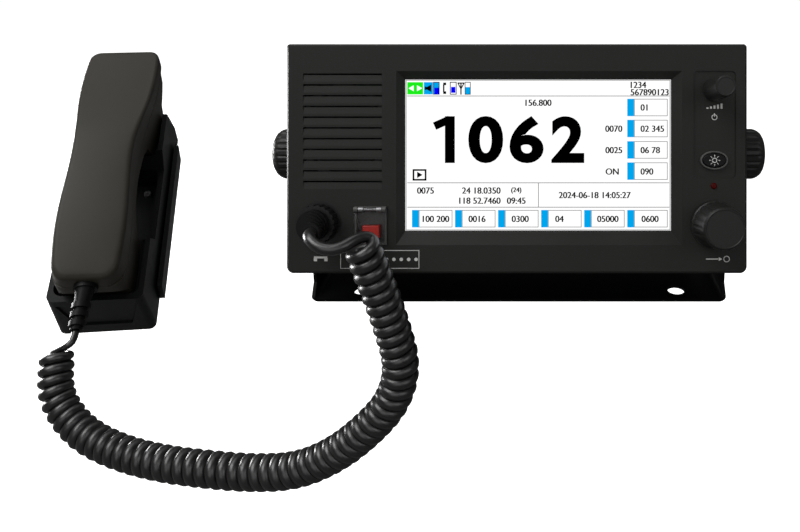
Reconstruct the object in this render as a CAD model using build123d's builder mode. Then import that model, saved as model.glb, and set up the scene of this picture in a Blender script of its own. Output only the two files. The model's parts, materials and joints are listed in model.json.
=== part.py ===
from build123d import *
import os
from math import tan, radians

os.makedirs("parts", exist_ok=True)

# ------------------------------------------------------------------ driving dimensions, mm
# where the radio hangs in its bracket
TILT = 20.0                     # the panel looks up by this angle
PIVOT_HEIGHT = 84.5             # of the tilt axis above the underside of the bracket
PIVOT_BEHIND_FACE = 48.0
PIVOT_ABOVE_CENTRE = 2.5

# fits and gaps
RUNNING = 0.05                  # radial gap of a shaft in its bore
GAP = 0.3                       # between pieces that pass each other
BOARD_THICKNESS = 1.6

# front panel; places on it are across and up from its centre
PANEL_WIDTH = 262.0
PANEL_HEIGHT = 130.5
PANEL_DEPTH = 14.0
PANEL_PLATE = 3.5
PANEL_WALL = 3.0
PANEL_EDGE = 1.2
LOWER_CORNER = 4.0
UPPER_CORNER = 2.0

WINDOW_FROM_LEFT = 67.1         # the frame of panel left round the screen window
WINDOW_FROM_RIGHT = 42.7
WINDOW_FROM_TOP = 19.95
WINDOW_FROM_BOTTOM = 23.95
BEVEL_LEFT = 4.6
BEVEL_RIGHT = 5.6
BEVEL_TOP = 4.5
BEVEL_BOTTOM = 7.7
GLASS_LAP = (6.35, 6.7)         # how far the glass reaches behind the panel, at the side and at the top
GLASS_THICKNESS = 1.5
LCD_THICKNESS = 5.5
LCD_BOARD_IN = (15.0, 20.0)      # how far the board behind the screen stays inside its edges

LOUVRE_IN = 32.0                # centre of the louvres, in from the panel's left edge
LOUVRE_UP = 15.6
LOUVRE_COUNT = 11
LOUVRE_PITCH = 6.1
LOUVRE_LENGTH = 44.8
LOUVRE_HEIGHT = 4.7
LOUVRE_GAP = 0.9
LOUVRE_SINK = 0.6

INSET_IN = 18.5
INSET_UP = 19.4
INSET_WIDTH = 24.0
INSET_HEIGHT = 61.0
INSET_CORNER = 2.5
INSET_DEPTH = 0.8

SPEAKER_RADIUS = 27.0
SPEAKER_FLANGE = 1.5
SPEAKER_DEPTH = 22.0
MAGNET_RADIUS = 14.0

# rear housing
GASKET_THICKNESS = 1.5
HOUSING_DEPTH = 74.5
HOUSING_WALL = 3.0
HOUSING_CORNER = 6.0
FLANGE_THICKNESS = 3.0
FLANGE_INSIDE_PANEL = (1.7, 0.25)       # how far its edge stays inside the panel's wall, at the side and at the top
FLANGE_LIP = (6.3, 3.0)         # how far it stands out beyond the housing, at the side and at the top
FLANGE_SCREW_DOWN = 6.0
FIN_COUNT = 17
FIN_PITCH = 9.0
FIN_THICKNESS = 2.0
FIN_DEPTH = 8.0
FIN_IN = 7.0                    # the first fin, in from the housing's edge
RF_MODULE_WIDTH = 66.0
RF_MODULE_HEIGHT = 30.0
RF_MODULE_DEPTH = 10.0
RF_FOOT_WIDTH = 80.0
RF_FOOT_HEIGHT = 12.0
RF_FOOT_THICKNESS = 3.0
MAIN_BOARD_BEHIND = 56.0
MAIN_BOARD_IN = (12.0, 8.0)     # its edges, in from the housing's walls
PROCESSOR_PLACE = (-30.0, 10.0)
PROCESSOR_SIZE = 28.0
CODEC_PLACE = (20.0, -12.0)
CODEC_SIZE = 18.0
PILLAR_RADIUS = 4.0
SCREW_RADIUS = 1.5
SCREW_HEAD_RADIUS = 2.8
SCREW_HEAD_HEIGHT = 2.0

# side bosses, bracket and clamp knobs
BOSS_RADIUS = 15.0
FRICTION_WASHER = 1.0
STUD_RADIUS = 4.0
STUD_LENGTH = 12.0
SHEET = 2.0
ARM_CLEARANCE = 1.0             # between the housing's flange and each arm
BRACKET_DEPTH = 76.0
BRACKET_BEND = 4.0
ARM_FOOT = 31.0
ARM_TOP = 19.0
BOLT_RADIUS = 5.5
BOLT_SPACING_X = 200.0
BOLT_SPACING_Y = 54.0
CLAMP_WASHER = 1.2
CLAMP_WASHER_RADIUS = 11.0
CLAMP_TRAVEL = 2.5
KNOB_RADIUS = 15.9
KNOB_LENGTH = 17.6
KNOB_FLUTES = 24
KNOB_DOME = 5.5
FLUTE_RADIUS = 1.3

# controls on the right of the panel
CONTROLS_IN = 19.0              # centre of the knobs, in from the panel's right edge
VOLUME_UP = 39.0
DIM_UP = -0.9
LED_UP = -15.5
CHANNEL_UP = -37.2
ENCODER_SIZE = 13.0
ENCODER_HEIGHT = 6.0
SHAFT_RADIUS = 3.0
PUSH_TRAVEL = 1.5
VOLUME_BASE_RADIUS = 6.35
VOLUME_TIP_RADIUS = 5.15
VOLUME_LENGTH = 24.0
CHANNEL_BASE_RADIUS = 13.4
CHANNEL_TIP_RADIUS = 11.4
CHANNEL_LENGTH = 20.5
CHANNEL_FLUTES = 18
KNOB_STANDOFF = 1.9
CONTROL_BOARD_WIDTH = 21.0
CONTROL_BOARD_ASIDE = 3.5       # its centre lies this far inboard of the knobs
CONTROL_BOARD_IN = 6.25         # its ends, in from the panel's walls
LED_RADIUS = 1.8
DIM_WIDTH = 13.2
DIM_HEIGHT = 8.1
DIM_RIM = 1.25
DIM_PROUD = 1.3
DIM_TRAVEL = 1.0

# distress call under its cover
DISTRESS_IN = 48.2              # its centre, in from the panel's left edge
DISTRESS_UP = -37.9
DISTRESS_WIDTH = 18.0
DISTRESS_HEIGHT = 21.8
DISTRESS_WALL = 1.0
DISTRESS_PROUD = 1.0
DISTRESS_DEPTH = 11.0
DISTRESS_FLOOR = 3.0
RED_WIDTH = 9.6
RED_HEIGHT = 7.0
RED_UP = -3.6
RED_TRAVEL = 2.0
HINGE_RADIUS = 0.8
HINGE_OUT = 2.6
HINGE_DOWN = 1.7
KNUCKLE_RADIUS = 1.7
KNUCKLE_LENGTH = 7.0
SPRING_LENGTH = 2.6
COVER_THICKNESS = 1.2
COVER_TAB = 5.5

# handset socket and plug
SOCKET_IN = 18.9                # its centre, in from the panel's left edge
SOCKET_UP = -36.7
SOCKET_RADIUS = 12.6
SOCKET_BODY_RADIUS = 10.0
SOCKET_FLANGE = 1.2
SOCKET_NUT_RADIUS = 11.5
SOCKET_NUT_THICKNESS = 4.0
SOCKET_LENGTH = 13.0
PLUG_BODY_RADIUS = 7.6
PLUG_RING_RADIUS = 11.0
PLUG_RING_LENGTH = 9.0
PLUG_BOOT_LENGTH = 21.0
PLUG_BOOT_RADIUS = 8.6
PLUG_BOOT_SIDE = (4.9, -2.1)    # how far the soft boot bends aside at its tip
PLUG_BOOT_RIBS = 5
LEAD_RADIUS = 3.0

# sockets on the back; each is set in from the housing's right side, and from its top or bottom
ANTENNA_IN = (28.0, 31.0)
ANTENNA_RADIUS = 7.9
ANTENNA_LENGTH = 16.0
ANTENNA_FLANGE = 25.4
ANTENNA_FLANGE_THICKNESS = 3.0
POWER_IN = (54.0, 37.0)
POWER_SIZE = (24.0, 14.0)
DATA_IN = (22.0, 37.0)
DATA_RADIUS = 8.0
REAR_SOCKET_PROUD = 9.0
EARTH_IN = (54.0, 31.0)
EARTH_RADIUS = 2.5
EARTH_LENGTH = 13.0

# cradle on its sloping console; places are across, along and above the cradle's mounting face
CRADLE_FOOT = (-322.1, 49.0, -80.8)
CRADLE_TURN = 18.0
CRADLE_ROLL = 7.5
CRADLE_SLOPE = 35.4
CRADLE_WIDTH = 66.0             # at its foot
CRADLE_DRAFT = 2.6              # degrees by which its sides lean in
CRADLE_CORNER = 5.0
CRADLE_WALL = 4.5
CUP_WIDTH = 54.0
CRADLE_LENGTH = 183.0
CRADLE_RIM = 57.0
CRADLE_WAIST = 42.0
CRADLE_TOP = 57.5
CUP_LENGTH = 50.0
CUP_FLOOR = 42.0
RECESS_START = 57.0
RECESS_END = 123.0
RECESS_FLOOR = 18.0
EAR_START = 130.0
BACK_PLATE_WIDTH = 73.6
BACK_PLATE_START = 26.0
BACK_PLATE_END = 171.0
BACK_PLATE_THICKNESS = 3.0
SKIRT_HEIGHT = 22.0
CRADLE_BOLT_RADIUS = 2.3
CRADLE_BOLT_SPACING = 48.0
CRADLE_SCREW_ASIDE = 17.0
CRADLE_SCREW_IN = 9.0

# handset, lying in the cradle
HANDSET_START = -2.0
MOUTH_WIDTH = 45.0
GRIP_WIDTH = 37.0
EAR_WIDTH = 52.0
HANDSET_CORNER = 9.0
CUP_RADIUS = 21.0
HANDSET_END = 203.0
HANDSET_BACK = 98.0
HANDSET_PARTING = 83.0
HANDSET_CUP = CUP_FLOOR + 0.3
HANDSET_GRIP = 69.0
HANDSET_WALL = 2.2
HANDSET_ROUND = 5.0
HANDSET_LIFT = 120.0
MOUTH_CENTRE = 29.0
EAR_CENTRE = 157.0
PTT_PLACE = 96.0
PTT_LENGTH = 26.0
PTT_WIDTH = 12.0
PTT_PROUD = 1.8
PTT_TRAVEL = 1.5
HANDSET_BOARD_LENGTH = 44.0
HANDSET_SCREW_SPACING = 56.0
BOOT_RADIUS = 6.5
BOOT_TIP_RADIUS = 4.2
BOOT_LENGTH = 31.0
BOOT_RIBS = 3
BOOT_ABOVE = 85.0
BOOT_DROOP = -3.0

# curly cord
COIL_RADIUS = 10.0
RADIO_LEAD_ROUTE = [
    (-107.2, -96.6, 75.7),
    (-98.5, -104.5, 73.0),
    (-87.8, -107.0, 72.5),
    (-80.8, -104.0, 80.0),
    (-80.4, -94.0, 81.0),
    (-80.3, -92.1, 67.6),
]
COIL_ROUTE = [
    (-80.0, -92.0, 66.5),
    (-73.7, -91.4, 45.0),
    (-66.6, -92.1, 18.4),
    (-62.7, -94.3, -6.3),
    (-69.5, -96.2, -29.2),
    (-86.3, -96.7, -48.9),
    (-106.4, -94.7, -67.9),
    (-131.7, -91.8, -82.7),
    (-161.7, -86.0, -89.6),
    (-190.8, -80.7, -91.8),
    (-222.1, -73.7, -94.1),
    (-251.8, -66.1, -92.9),
    (-278.4, -57.4, -87.0),
    (-294.5, -49.4, -74.5),
    (-301.8, -42.4, -58.5),
    (-299.2, -38.0, -45.5),
]
HANDSET_LEAD_ROUTE = [
    (-293.9, -26.6, -37.6),
    (-295.3, -35.4, -39.8),
    (-298.5, -37.9, -43.9),
]

# ------------------------------------------------------------------ the frames of the three assemblies
# The panel frame lies on the face of the panel: x across, y up the panel, z out of it.
out = Vector(0, -1, 0).rotate(Axis.X, -TILT)
up = Vector(0, 0, 1).rotate(Axis.X, -TILT)
PIVOT = Vector(0, 0, PIVOT_HEIGHT)
PANEL = Plane(
    origin=PIVOT + out * PIVOT_BEHIND_FACE - up * PIVOT_ABOVE_CENTRE,
    x_dir=(1, 0, 0),
    z_dir=out,
)
OUT = Axis(PANEL.origin, out)
UP = Axis(PANEL.origin, up)

# The cradle frame lies on the cradle's mounting face: x across, y along it, z out of it.
across = Vector(1, 0, 0).rotate(Axis.Y, CRADLE_ROLL).rotate(Axis.Z, CRADLE_TURN)
facing = Vector(0, 0, 1).rotate(Axis.X, CRADLE_SLOPE).rotate(Axis.Y, CRADLE_ROLL).rotate(Axis.Z, CRADLE_TURN)
CRADLE = Plane(origin=CRADLE_FOOT, x_dir=across, z_dir=facing)
CRADLE_OUT = Axis(CRADLE.origin, facing)
CRADLE_ALONG = Axis(CRADLE.origin, CRADLE.y_dir)


def behind(depth):
    """A plane parallel to the panel's face, this far behind it."""
    return PANEL.offset(-depth)


def beside(frame, distance):
    """A plane square to a frame's x: its x runs along the frame's y, its y along the frame's z."""
    return Plane(origin=frame.from_local_coords(Vector(distance, 0, 0)), x_dir=frame.y_dir, z_dir=frame.x_dir)


def shaft_plane(place):
    """The half plane beside a shaft that stands on the panel: x is the radius, y is out."""
    return Plane(origin=PANEL.from_local_coords(Vector(*place, 0)), x_dir=PANEL.x_dir, z_dir=-PANEL.y_dir)


def shaft_axis(place):
    """The axis of a shaft that stands on the panel at this place."""
    return Axis(PANEL.from_local_coords(Vector(*place, 0)), out)


def write(piece, name):
    """Label a finished piece and write its STEP file."""
    piece.part.label = name
    export_step(piece.part, f"parts/{name}.step")


# sizes that follow from the driving ones
WINDOW_WIDTH = PANEL_WIDTH - WINDOW_FROM_LEFT - WINDOW_FROM_RIGHT
WINDOW_HEIGHT = PANEL_HEIGHT - WINDOW_FROM_TOP - WINDOW_FROM_BOTTOM
GLASS_WIDTH = WINDOW_WIDTH + 2 * GLASS_LAP[0]
GLASS_HEIGHT = WINDOW_HEIGHT + 2 * GLASS_LAP[1]
SCREEN_PLACE = ((WINDOW_FROM_LEFT - WINDOW_FROM_RIGHT) / 2, (WINDOW_FROM_BOTTOM - WINDOW_FROM_TOP) / 2)
LOUVRE_PLACE = (LOUVRE_IN - PANEL_WIDTH / 2, LOUVRE_UP)
INSET_PLACE = (PANEL_WIDTH / 2 - INSET_IN, INSET_UP)
CONTROL_COLUMN = PANEL_WIDTH / 2 - CONTROLS_IN
CONTROL_BOARD_HEIGHT = PANEL_HEIGHT - 2 * (PANEL_WALL + CONTROL_BOARD_IN)
DISTRESS_PLACE = (DISTRESS_IN - PANEL_WIDTH / 2, DISTRESS_UP)
SOCKET_PLACE = (SOCKET_IN - PANEL_WIDTH / 2, SOCKET_UP)
FLANGE_WIDTH = PANEL_WIDTH - 2 * (PANEL_WALL + FLANGE_INSIDE_PANEL[0])
FLANGE_HEIGHT = PANEL_HEIGHT - 2 * (PANEL_WALL + FLANGE_INSIDE_PANEL[1])
HOUSING_WIDTH = FLANGE_WIDTH - 2 * FLANGE_LIP[0]
HOUSING_HEIGHT = FLANGE_HEIGHT - 2 * FLANGE_LIP[1]
BRACKET_WIDTH = FLANGE_WIDTH + 2 * (ARM_CLEARANCE + SHEET)
MAIN_BOARD_WIDTH = HOUSING_WIDTH - 2 * (HOUSING_WALL + MAIN_BOARD_IN[0])
MAIN_BOARD_HEIGHT = HOUSING_HEIGHT - 2 * (HOUSING_WALL + MAIN_BOARD_IN[1])
FIN_CENTRE = FIN_IN - HOUSING_WIDTH / 2 + ((FIN_COUNT - 1) * FIN_PITCH + FIN_THICKNESS) / 2
ANTENNA_PLACE = (HOUSING_WIDTH / 2 - ANTENNA_IN[0], HOUSING_HEIGHT / 2 - ANTENNA_IN[1])
EARTH_PLACE = (HOUSING_WIDTH / 2 - EARTH_IN[0], HOUSING_HEIGHT / 2 - EARTH_IN[1])
POWER_PLACE = (HOUSING_WIDTH / 2 - POWER_IN[0], POWER_IN[1] - HOUSING_HEIGHT / 2)
DATA_PLACE = (HOUSING_WIDTH / 2 - DATA_IN[0], DATA_IN[1] - HOUSING_HEIGHT / 2)
FLANGE_BEHIND = PANEL_DEPTH + GASKET_THICKNESS
BACK_BEHIND = FLANGE_BEHIND + HOUSING_DEPTH
GLASS_BEHIND = PANEL_PLATE
LCD_BEHIND = GLASS_BEHIND + GLASS_THICKNESS
CONTROL_BOARD_BEHIND = PANEL_PLATE + ENCODER_HEIGHT
ARM_INSIDE = BRACKET_WIDTH / 2 - SHEET
BOSS_END = ARM_INSIDE - FRICTION_WASHER - RUNNING
VOLUME_PLACE = (CONTROL_COLUMN, VOLUME_UP)
CHANNEL_PLACE = (CONTROL_COLUMN, CHANNEL_UP)
DIM_PLACE = (CONTROL_COLUMN, DIM_UP)
LED_PLACE = (CONTROL_COLUMN, LED_UP)
CONTROL_BOARD_PLACE = (CONTROL_COLUMN - CONTROL_BOARD_ASIDE, 0)
RED_PLACE = (DISTRESS_PLACE[0], DISTRESS_PLACE[1] + RED_UP)
HINGE_UP = DISTRESS_PLACE[1] + DISTRESS_HEIGHT / 2 - HINGE_DOWN
FLANGE_SCREWS = Locations(
    *[
        (side * (HOUSING_WIDTH + FLANGE_WIDTH) / 4, height * (HOUSING_HEIGHT / 2 - FLANGE_SCREW_DOWN))
        for side in (-1, 1)
        for height in (-1, 1)
    ]
)

# ------------------------------------------------------------------ front panel
with BuildPart() as front_panel:
    with BuildSketch(PANEL) as panel_outline:
        Rectangle(PANEL_WIDTH, PANEL_HEIGHT)
        fillet(panel_outline.vertices().group_by(Axis.Y)[0], LOWER_CORNER)
        fillet(panel_outline.vertices().group_by(Axis.Y)[-1], UPPER_CORNER)
    extrude(amount=-PANEL_DEPTH)
    chamfer(front_panel.faces().sort_by(OUT)[-1].edges(), PANEL_EDGE)
    with BuildSketch(behind(PANEL_DEPTH)):
        Rectangle(PANEL_WIDTH - 2 * PANEL_WALL, PANEL_HEIGHT - 2 * PANEL_WALL)
    extrude(amount=PANEL_DEPTH - PANEL_PLATE, mode=Mode.SUBTRACT)

    # screen window, with its four bevels
    with BuildSketch(PANEL):
        with Locations(
            (
                SCREEN_PLACE[0] + (BEVEL_RIGHT - BEVEL_LEFT) / 2,
                SCREEN_PLACE[1] + (BEVEL_TOP - BEVEL_BOTTOM) / 2,
            )
        ):
            Rectangle(WINDOW_WIDTH + BEVEL_LEFT + BEVEL_RIGHT, WINDOW_HEIGHT + BEVEL_TOP + BEVEL_BOTTOM)
    with BuildSketch(behind(PANEL_PLATE)):
        with Locations(SCREEN_PLACE):
            Rectangle(WINDOW_WIDTH, WINDOW_HEIGHT)
    loft(mode=Mode.SUBTRACT)

    # louvres: each slat slopes in and up to a narrow slot at its top
    with BuildSketch(beside(PANEL, LOUVRE_PLACE[0] - LOUVRE_LENGTH / 2)):
        with Locations(
            *[
                (LOUVRE_PLACE[1] + LOUVRE_PITCH * (number - (LOUVRE_COUNT - 1) / 2), 0)
                for number in range(LOUVRE_COUNT)
            ]
        ):
            Polygon(
                (-LOUVRE_HEIGHT / 2, 0),
                (LOUVRE_HEIGHT / 2, 0),
                (LOUVRE_HEIGHT / 2, -PANEL_PLATE),
                (LOUVRE_HEIGHT / 2 - LOUVRE_GAP, -PANEL_PLATE),
                (LOUVRE_HEIGHT / 2 - LOUVRE_GAP, -LOUVRE_SINK),
                align=None,
            )
    extrude(amount=LOUVRE_LENGTH, mode=Mode.SUBTRACT)

    # the inset behind the volume knob and the dim button
    with BuildSketch(PANEL):
        with Locations(INSET_PLACE):
            RectangleRounded(INSET_WIDTH, INSET_HEIGHT, INSET_CORNER)
    extrude(amount=-INSET_DEPTH, mode=Mode.SUBTRACT)

    # openings for the controls, the distress housing and the handset socket
    with BuildSketch(PANEL):
        with Locations(VOLUME_PLACE, CHANNEL_PLACE):
            Circle(SHAFT_RADIUS + GAP)
        with Locations(LED_PLACE):
            Circle(LED_RADIUS + RUNNING)
        with Locations(DIM_PLACE):
            Ellipse(DIM_WIDTH / 2 + DIM_RIM, DIM_HEIGHT / 2 + DIM_RIM)
        with Locations(DISTRESS_PLACE):
            Rectangle(DISTRESS_WIDTH, DISTRESS_HEIGHT)
        with Locations(SOCKET_PLACE):
            Circle(SOCKET_BODY_RADIUS + RUNNING)
    extrude(amount=-PANEL_PLATE, mode=Mode.SUBTRACT)
    with BuildSketch(PANEL):
        with Locations(SOCKET_PLACE):
            Circle(SOCKET_RADIUS)
    extrude(amount=-SOCKET_FLANGE, mode=Mode.SUBTRACT)

    # pegs that carry the control board, and corner blocks that take the housing screws
    with BuildSketch(behind(PANEL_PLATE)):
        with Locations(CONTROL_BOARD_PLACE):
            with GridLocations(CONTROL_BOARD_WIDTH - 6, CONTROL_BOARD_HEIGHT - 6, 2, 2):
                Circle(2)
    extrude(amount=-ENCODER_HEIGHT)
    with BuildSketch(behind(PANEL_PLATE)):
        with FLANGE_SCREWS:
            RectangleRounded(8, 10, 2)
    extrude(amount=PANEL_PLATE - PANEL_DEPTH)
    with BuildSketch(behind(PANEL_DEPTH)):
        with FLANGE_SCREWS:
            Circle(SCREW_RADIUS + RUNNING)
    extrude(amount=PANEL_DEPTH - PANEL_PLATE, mode=Mode.SUBTRACT)
write(front_panel, "front_panel")

# ------------------------------------------------------------------ gasket between panel and housing
with BuildPart() as panel_gasket:
    with BuildSketch(behind(PANEL_DEPTH)):
        Rectangle(FLANGE_WIDTH, FLANGE_HEIGHT)
        Rectangle(HOUSING_WIDTH - 2 * HOUSING_WALL, HOUSING_HEIGHT - 2 * HOUSING_WALL, mode=Mode.SUBTRACT)
        with FLANGE_SCREWS:
            Circle(SCREW_RADIUS + RUNNING, mode=Mode.SUBTRACT)
    extrude(amount=-GASKET_THICKNESS)
write(panel_gasket, "panel_gasket")

# ------------------------------------------------------------------ rear housing: a finned box, open to the front
with BuildPart() as rear_housing:
    with BuildSketch(behind(FLANGE_BEHIND)):
        Rectangle(FLANGE_WIDTH, FLANGE_HEIGHT)
    extrude(amount=-FLANGE_THICKNESS)
    with BuildSketch(behind(FLANGE_BEHIND)):
        RectangleRounded(HOUSING_WIDTH, HOUSING_HEIGHT, HOUSING_CORNER)
    extrude(amount=-HOUSING_DEPTH)
    with BuildSketch(behind(BACK_BEHIND)):
        with Locations((FIN_CENTRE, 0)):
            with GridLocations(FIN_PITCH, 1, FIN_COUNT, 1):
                Rectangle(FIN_THICKNESS, HOUSING_HEIGHT - 2 * HOUSING_CORNER)
    extrude(amount=-FIN_DEPTH)
    for side in (-1, 1):
        with BuildSketch(Plane(origin=PIVOT, x_dir=out, z_dir=(side, 0, 0))):
            Circle(BOSS_RADIUS)
        extrude(amount=BOSS_END)
    with BuildSketch(behind(FLANGE_BEHIND)):
        RectangleRounded(
            HOUSING_WIDTH - 2 * HOUSING_WALL,
            HOUSING_HEIGHT - 2 * HOUSING_WALL,
            HOUSING_CORNER - HOUSING_WALL,
        )
    extrude(amount=HOUSING_WALL - HOUSING_DEPTH, mode=Mode.SUBTRACT)
    # inner bosses for the clamp studs
    for side in (-1, 1):
        stud_plane = Plane(
            origin=PIVOT + Vector(side * (BOSS_END - STUD_LENGTH - 2), 0, 0),
            x_dir=out,
            z_dir=(side, 0, 0),
        )
        with BuildSketch(stud_plane):
            Circle(STUD_RADIUS * 2)
        extrude(amount=STUD_LENGTH + 2)
        with BuildSketch(stud_plane.offset(2)):
            Circle(STUD_RADIUS + RUNNING)
        extrude(amount=STUD_LENGTH, mode=Mode.SUBTRACT)
    # pillars that carry the main board
    with BuildSketch(behind(BACK_BEHIND - HOUSING_WALL)):
        with GridLocations(MAIN_BOARD_WIDTH - 12, MAIN_BOARD_HEIGHT - 12, 2, 2):
            Circle(PILLAR_RADIUS)
    extrude(amount=BACK_BEHIND - HOUSING_WALL - MAIN_BOARD_BEHIND)
    # screw holes in the flange, and openings for the sockets on the back
    with BuildSketch(behind(FLANGE_BEHIND)):
        with FLANGE_SCREWS:
            Circle(SCREW_RADIUS + RUNNING)
    extrude(amount=-FLANGE_THICKNESS, mode=Mode.SUBTRACT)
    with BuildSketch(behind(BACK_BEHIND)):
        with Locations(ANTENNA_PLACE):
            Circle(ANTENNA_RADIUS)
        with Locations(POWER_PLACE):
            Rectangle(*POWER_SIZE)
        with Locations(DATA_PLACE):
            Circle(DATA_RADIUS)
        with Locations(EARTH_PLACE):
            Circle(EARTH_RADIUS + RUNNING)
    extrude(amount=HOUSING_WALL, mode=Mode.SUBTRACT)
write(rear_housing, "rear_housing")

# ------------------------------------------------------------------ housing screws
with BuildPart() as housing_screws:
    with BuildSketch(behind(FLANGE_BEHIND + FLANGE_THICKNESS)):
        with FLANGE_SCREWS:
            Circle(SCREW_HEAD_RADIUS)
    extrude(amount=-SCREW_HEAD_HEIGHT)
    with BuildSketch(behind(FLANGE_BEHIND + FLANGE_THICKNESS + SCREW_HEAD_HEIGHT)):
        with FLANGE_SCREWS:
            RegularPolygon(SCREW_RADIUS, 6)
    extrude(amount=SCREW_HEAD_HEIGHT / 2, mode=Mode.SUBTRACT)
    with BuildSketch(behind(FLANGE_BEHIND + FLANGE_THICKNESS)):
        with FLANGE_SCREWS:
            Circle(SCREW_RADIUS)
    extrude(amount=FLANGE_THICKNESS + GASKET_THICKNESS + PANEL_DEPTH - PANEL_PLATE - 2)
write(housing_screws, "housing_screws")

# ------------------------------------------------------------------ screen
with BuildPart() as touch_glass:
    with BuildSketch(behind(GLASS_BEHIND)):
        with Locations(SCREEN_PLACE):
            Rectangle(GLASS_WIDTH, GLASS_HEIGHT)
    extrude(amount=-GLASS_THICKNESS)
write(touch_glass, "touch_glass")

with BuildPart() as lcd_module:
    with BuildSketch(behind(LCD_BEHIND)):
        with Locations(SCREEN_PLACE):
            Rectangle(GLASS_WIDTH, GLASS_HEIGHT)
    extrude(amount=-LCD_THICKNESS)
    with BuildSketch(behind(LCD_BEHIND + LCD_THICKNESS)):
        with Locations(SCREEN_PLACE):
            Rectangle(GLASS_WIDTH - 2 * LCD_BOARD_IN[0], GLASS_HEIGHT - 2 * LCD_BOARD_IN[1])
    extrude(amount=-BOARD_THICKNESS)
write(lcd_module, "lcd_module")

# ------------------------------------------------------------------ speaker behind the louvres
with BuildPart() as speaker_frame:
    with BuildSketch(shaft_plane(LOUVRE_PLACE)) as frame_profile:
        with BuildLine():
            Polyline(
                (SPEAKER_RADIUS - 3, -PANEL_PLATE),
                (SPEAKER_RADIUS, -PANEL_PLATE),
                (SPEAKER_RADIUS, -PANEL_PLATE - SPEAKER_FLANGE),
                (SPEAKER_RADIUS - 3, -PANEL_PLATE - SPEAKER_FLANGE),
                (MAGNET_RADIUS, -PANEL_DEPTH),
                (MAGNET_RADIUS, -PANEL_PLATE - SPEAKER_DEPTH),
                (0, -PANEL_PLATE - SPEAKER_DEPTH),
                (0, -PANEL_DEPTH),
                (MAGNET_RADIUS - 3, -PANEL_DEPTH + SPEAKER_FLANGE),
                (SPEAKER_RADIUS - 3 - SPEAKER_FLANGE, -PANEL_PLATE - SPEAKER_FLANGE),
                close=True,
            )
        make_face()
    revolve(axis=shaft_axis(LOUVRE_PLACE))
write(speaker_frame, "speaker_frame")

with BuildPart() as speaker_cone:
    with BuildSketch(shaft_plane(LOUVRE_PLACE)):
        with BuildLine():
            Polyline(
                (0, -PANEL_DEPTH + 1.8),
                (MAGNET_RADIUS - 3.4, -PANEL_DEPTH + 2.1),
                (SPEAKER_RADIUS - 4.8, -PANEL_PLATE - 1.4),
                (SPEAKER_RADIUS - 4.4, -PANEL_PLATE - 0.8),
                (SPEAKER_RADIUS - 5, -PANEL_PLATE - 0.6),
                (MAGNET_RADIUS - 3.8, -PANEL_DEPTH + 2.8),
                (0, -PANEL_DEPTH + 3.5),
                close=True,
            )
        make_face()
    revolve(axis=shaft_axis(LOUVRE_PLACE))
write(speaker_cone, "speaker_cone")

# ------------------------------------------------------------------ boards inside
with BuildPart() as main_board:
    with BuildSketch(behind(MAIN_BOARD_BEHIND)):
        Rectangle(MAIN_BOARD_WIDTH, MAIN_BOARD_HEIGHT)
    extrude(amount=BOARD_THICKNESS)
    with BuildSketch(behind(MAIN_BOARD_BEHIND - BOARD_THICKNESS)):
        with Locations(PROCESSOR_PLACE):
            Rectangle(PROCESSOR_SIZE, PROCESSOR_SIZE)
        with Locations(CODEC_PLACE):
            Rectangle(CODEC_SIZE, CODEC_SIZE)
    extrude(amount=2)
write(main_board, "main_board")

with BuildPart() as rf_power_module:
    with BuildSketch(behind(BACK_BEHIND - HOUSING_WALL)):
        with Locations((FIN_CENTRE, 0)):
            Rectangle(RF_MODULE_WIDTH, RF_MODULE_HEIGHT)
    extrude(amount=RF_MODULE_DEPTH)
    with BuildSketch(behind(BACK_BEHIND - HOUSING_WALL)):
        with Locations((FIN_CENTRE, 0)):
            Rectangle(RF_FOOT_WIDTH, RF_FOOT_HEIGHT)
    extrude(amount=RF_FOOT_THICKNESS)
write(rf_power_module, "rf_power_module")

with BuildPart() as control_board:
    with BuildSketch(behind(CONTROL_BOARD_BEHIND)):
        with Locations(CONTROL_BOARD_PLACE):
            Rectangle(CONTROL_BOARD_WIDTH, CONTROL_BOARD_HEIGHT)
    extrude(amount=-BOARD_THICKNESS)
write(control_board, "control_board")


# ------------------------------------------------------------------ volume and channel controls
def encoder(place):
    """A push encoder soldered to the control board, with a bore for its shaft."""
    with BuildPart() as body:
        with BuildSketch(behind(CONTROL_BOARD_BEHIND)):
            with Locations(place):
                Rectangle(ENCODER_SIZE, ENCODER_SIZE)
        extrude(amount=ENCODER_HEIGHT)
        with BuildSketch(behind(PANEL_PLATE)):
            with Locations(place):
                Circle(SHAFT_RADIUS + RUNNING)
        extrude(amount=GAP + PUSH_TRAVEL - ENCODER_HEIGHT, mode=Mode.SUBTRACT)
    return body


def plunger(place, length):
    """The encoder's shaft, which slides in when the knob is pushed."""
    with BuildPart() as shaft:
        with BuildSketch(behind(CONTROL_BOARD_BEHIND - 2 * PUSH_TRAVEL - GAP)):
            with Locations(place):
                Circle(SHAFT_RADIUS)
        extrude(amount=CONTROL_BOARD_BEHIND - 2 * PUSH_TRAVEL - GAP + length)
    return shaft


volume_encoder = encoder(VOLUME_PLACE)
write(volume_encoder, "volume_encoder")
channel_encoder = encoder(CHANNEL_PLACE)
write(channel_encoder, "channel_encoder")
volume_plunger = plunger(VOLUME_PLACE, VOLUME_LENGTH / 2)
write(volume_plunger, "volume_plunger")
channel_plunger = plunger(CHANNEL_PLACE, CHANNEL_LENGTH / 2)
write(channel_plunger, "channel_plunger")

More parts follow.
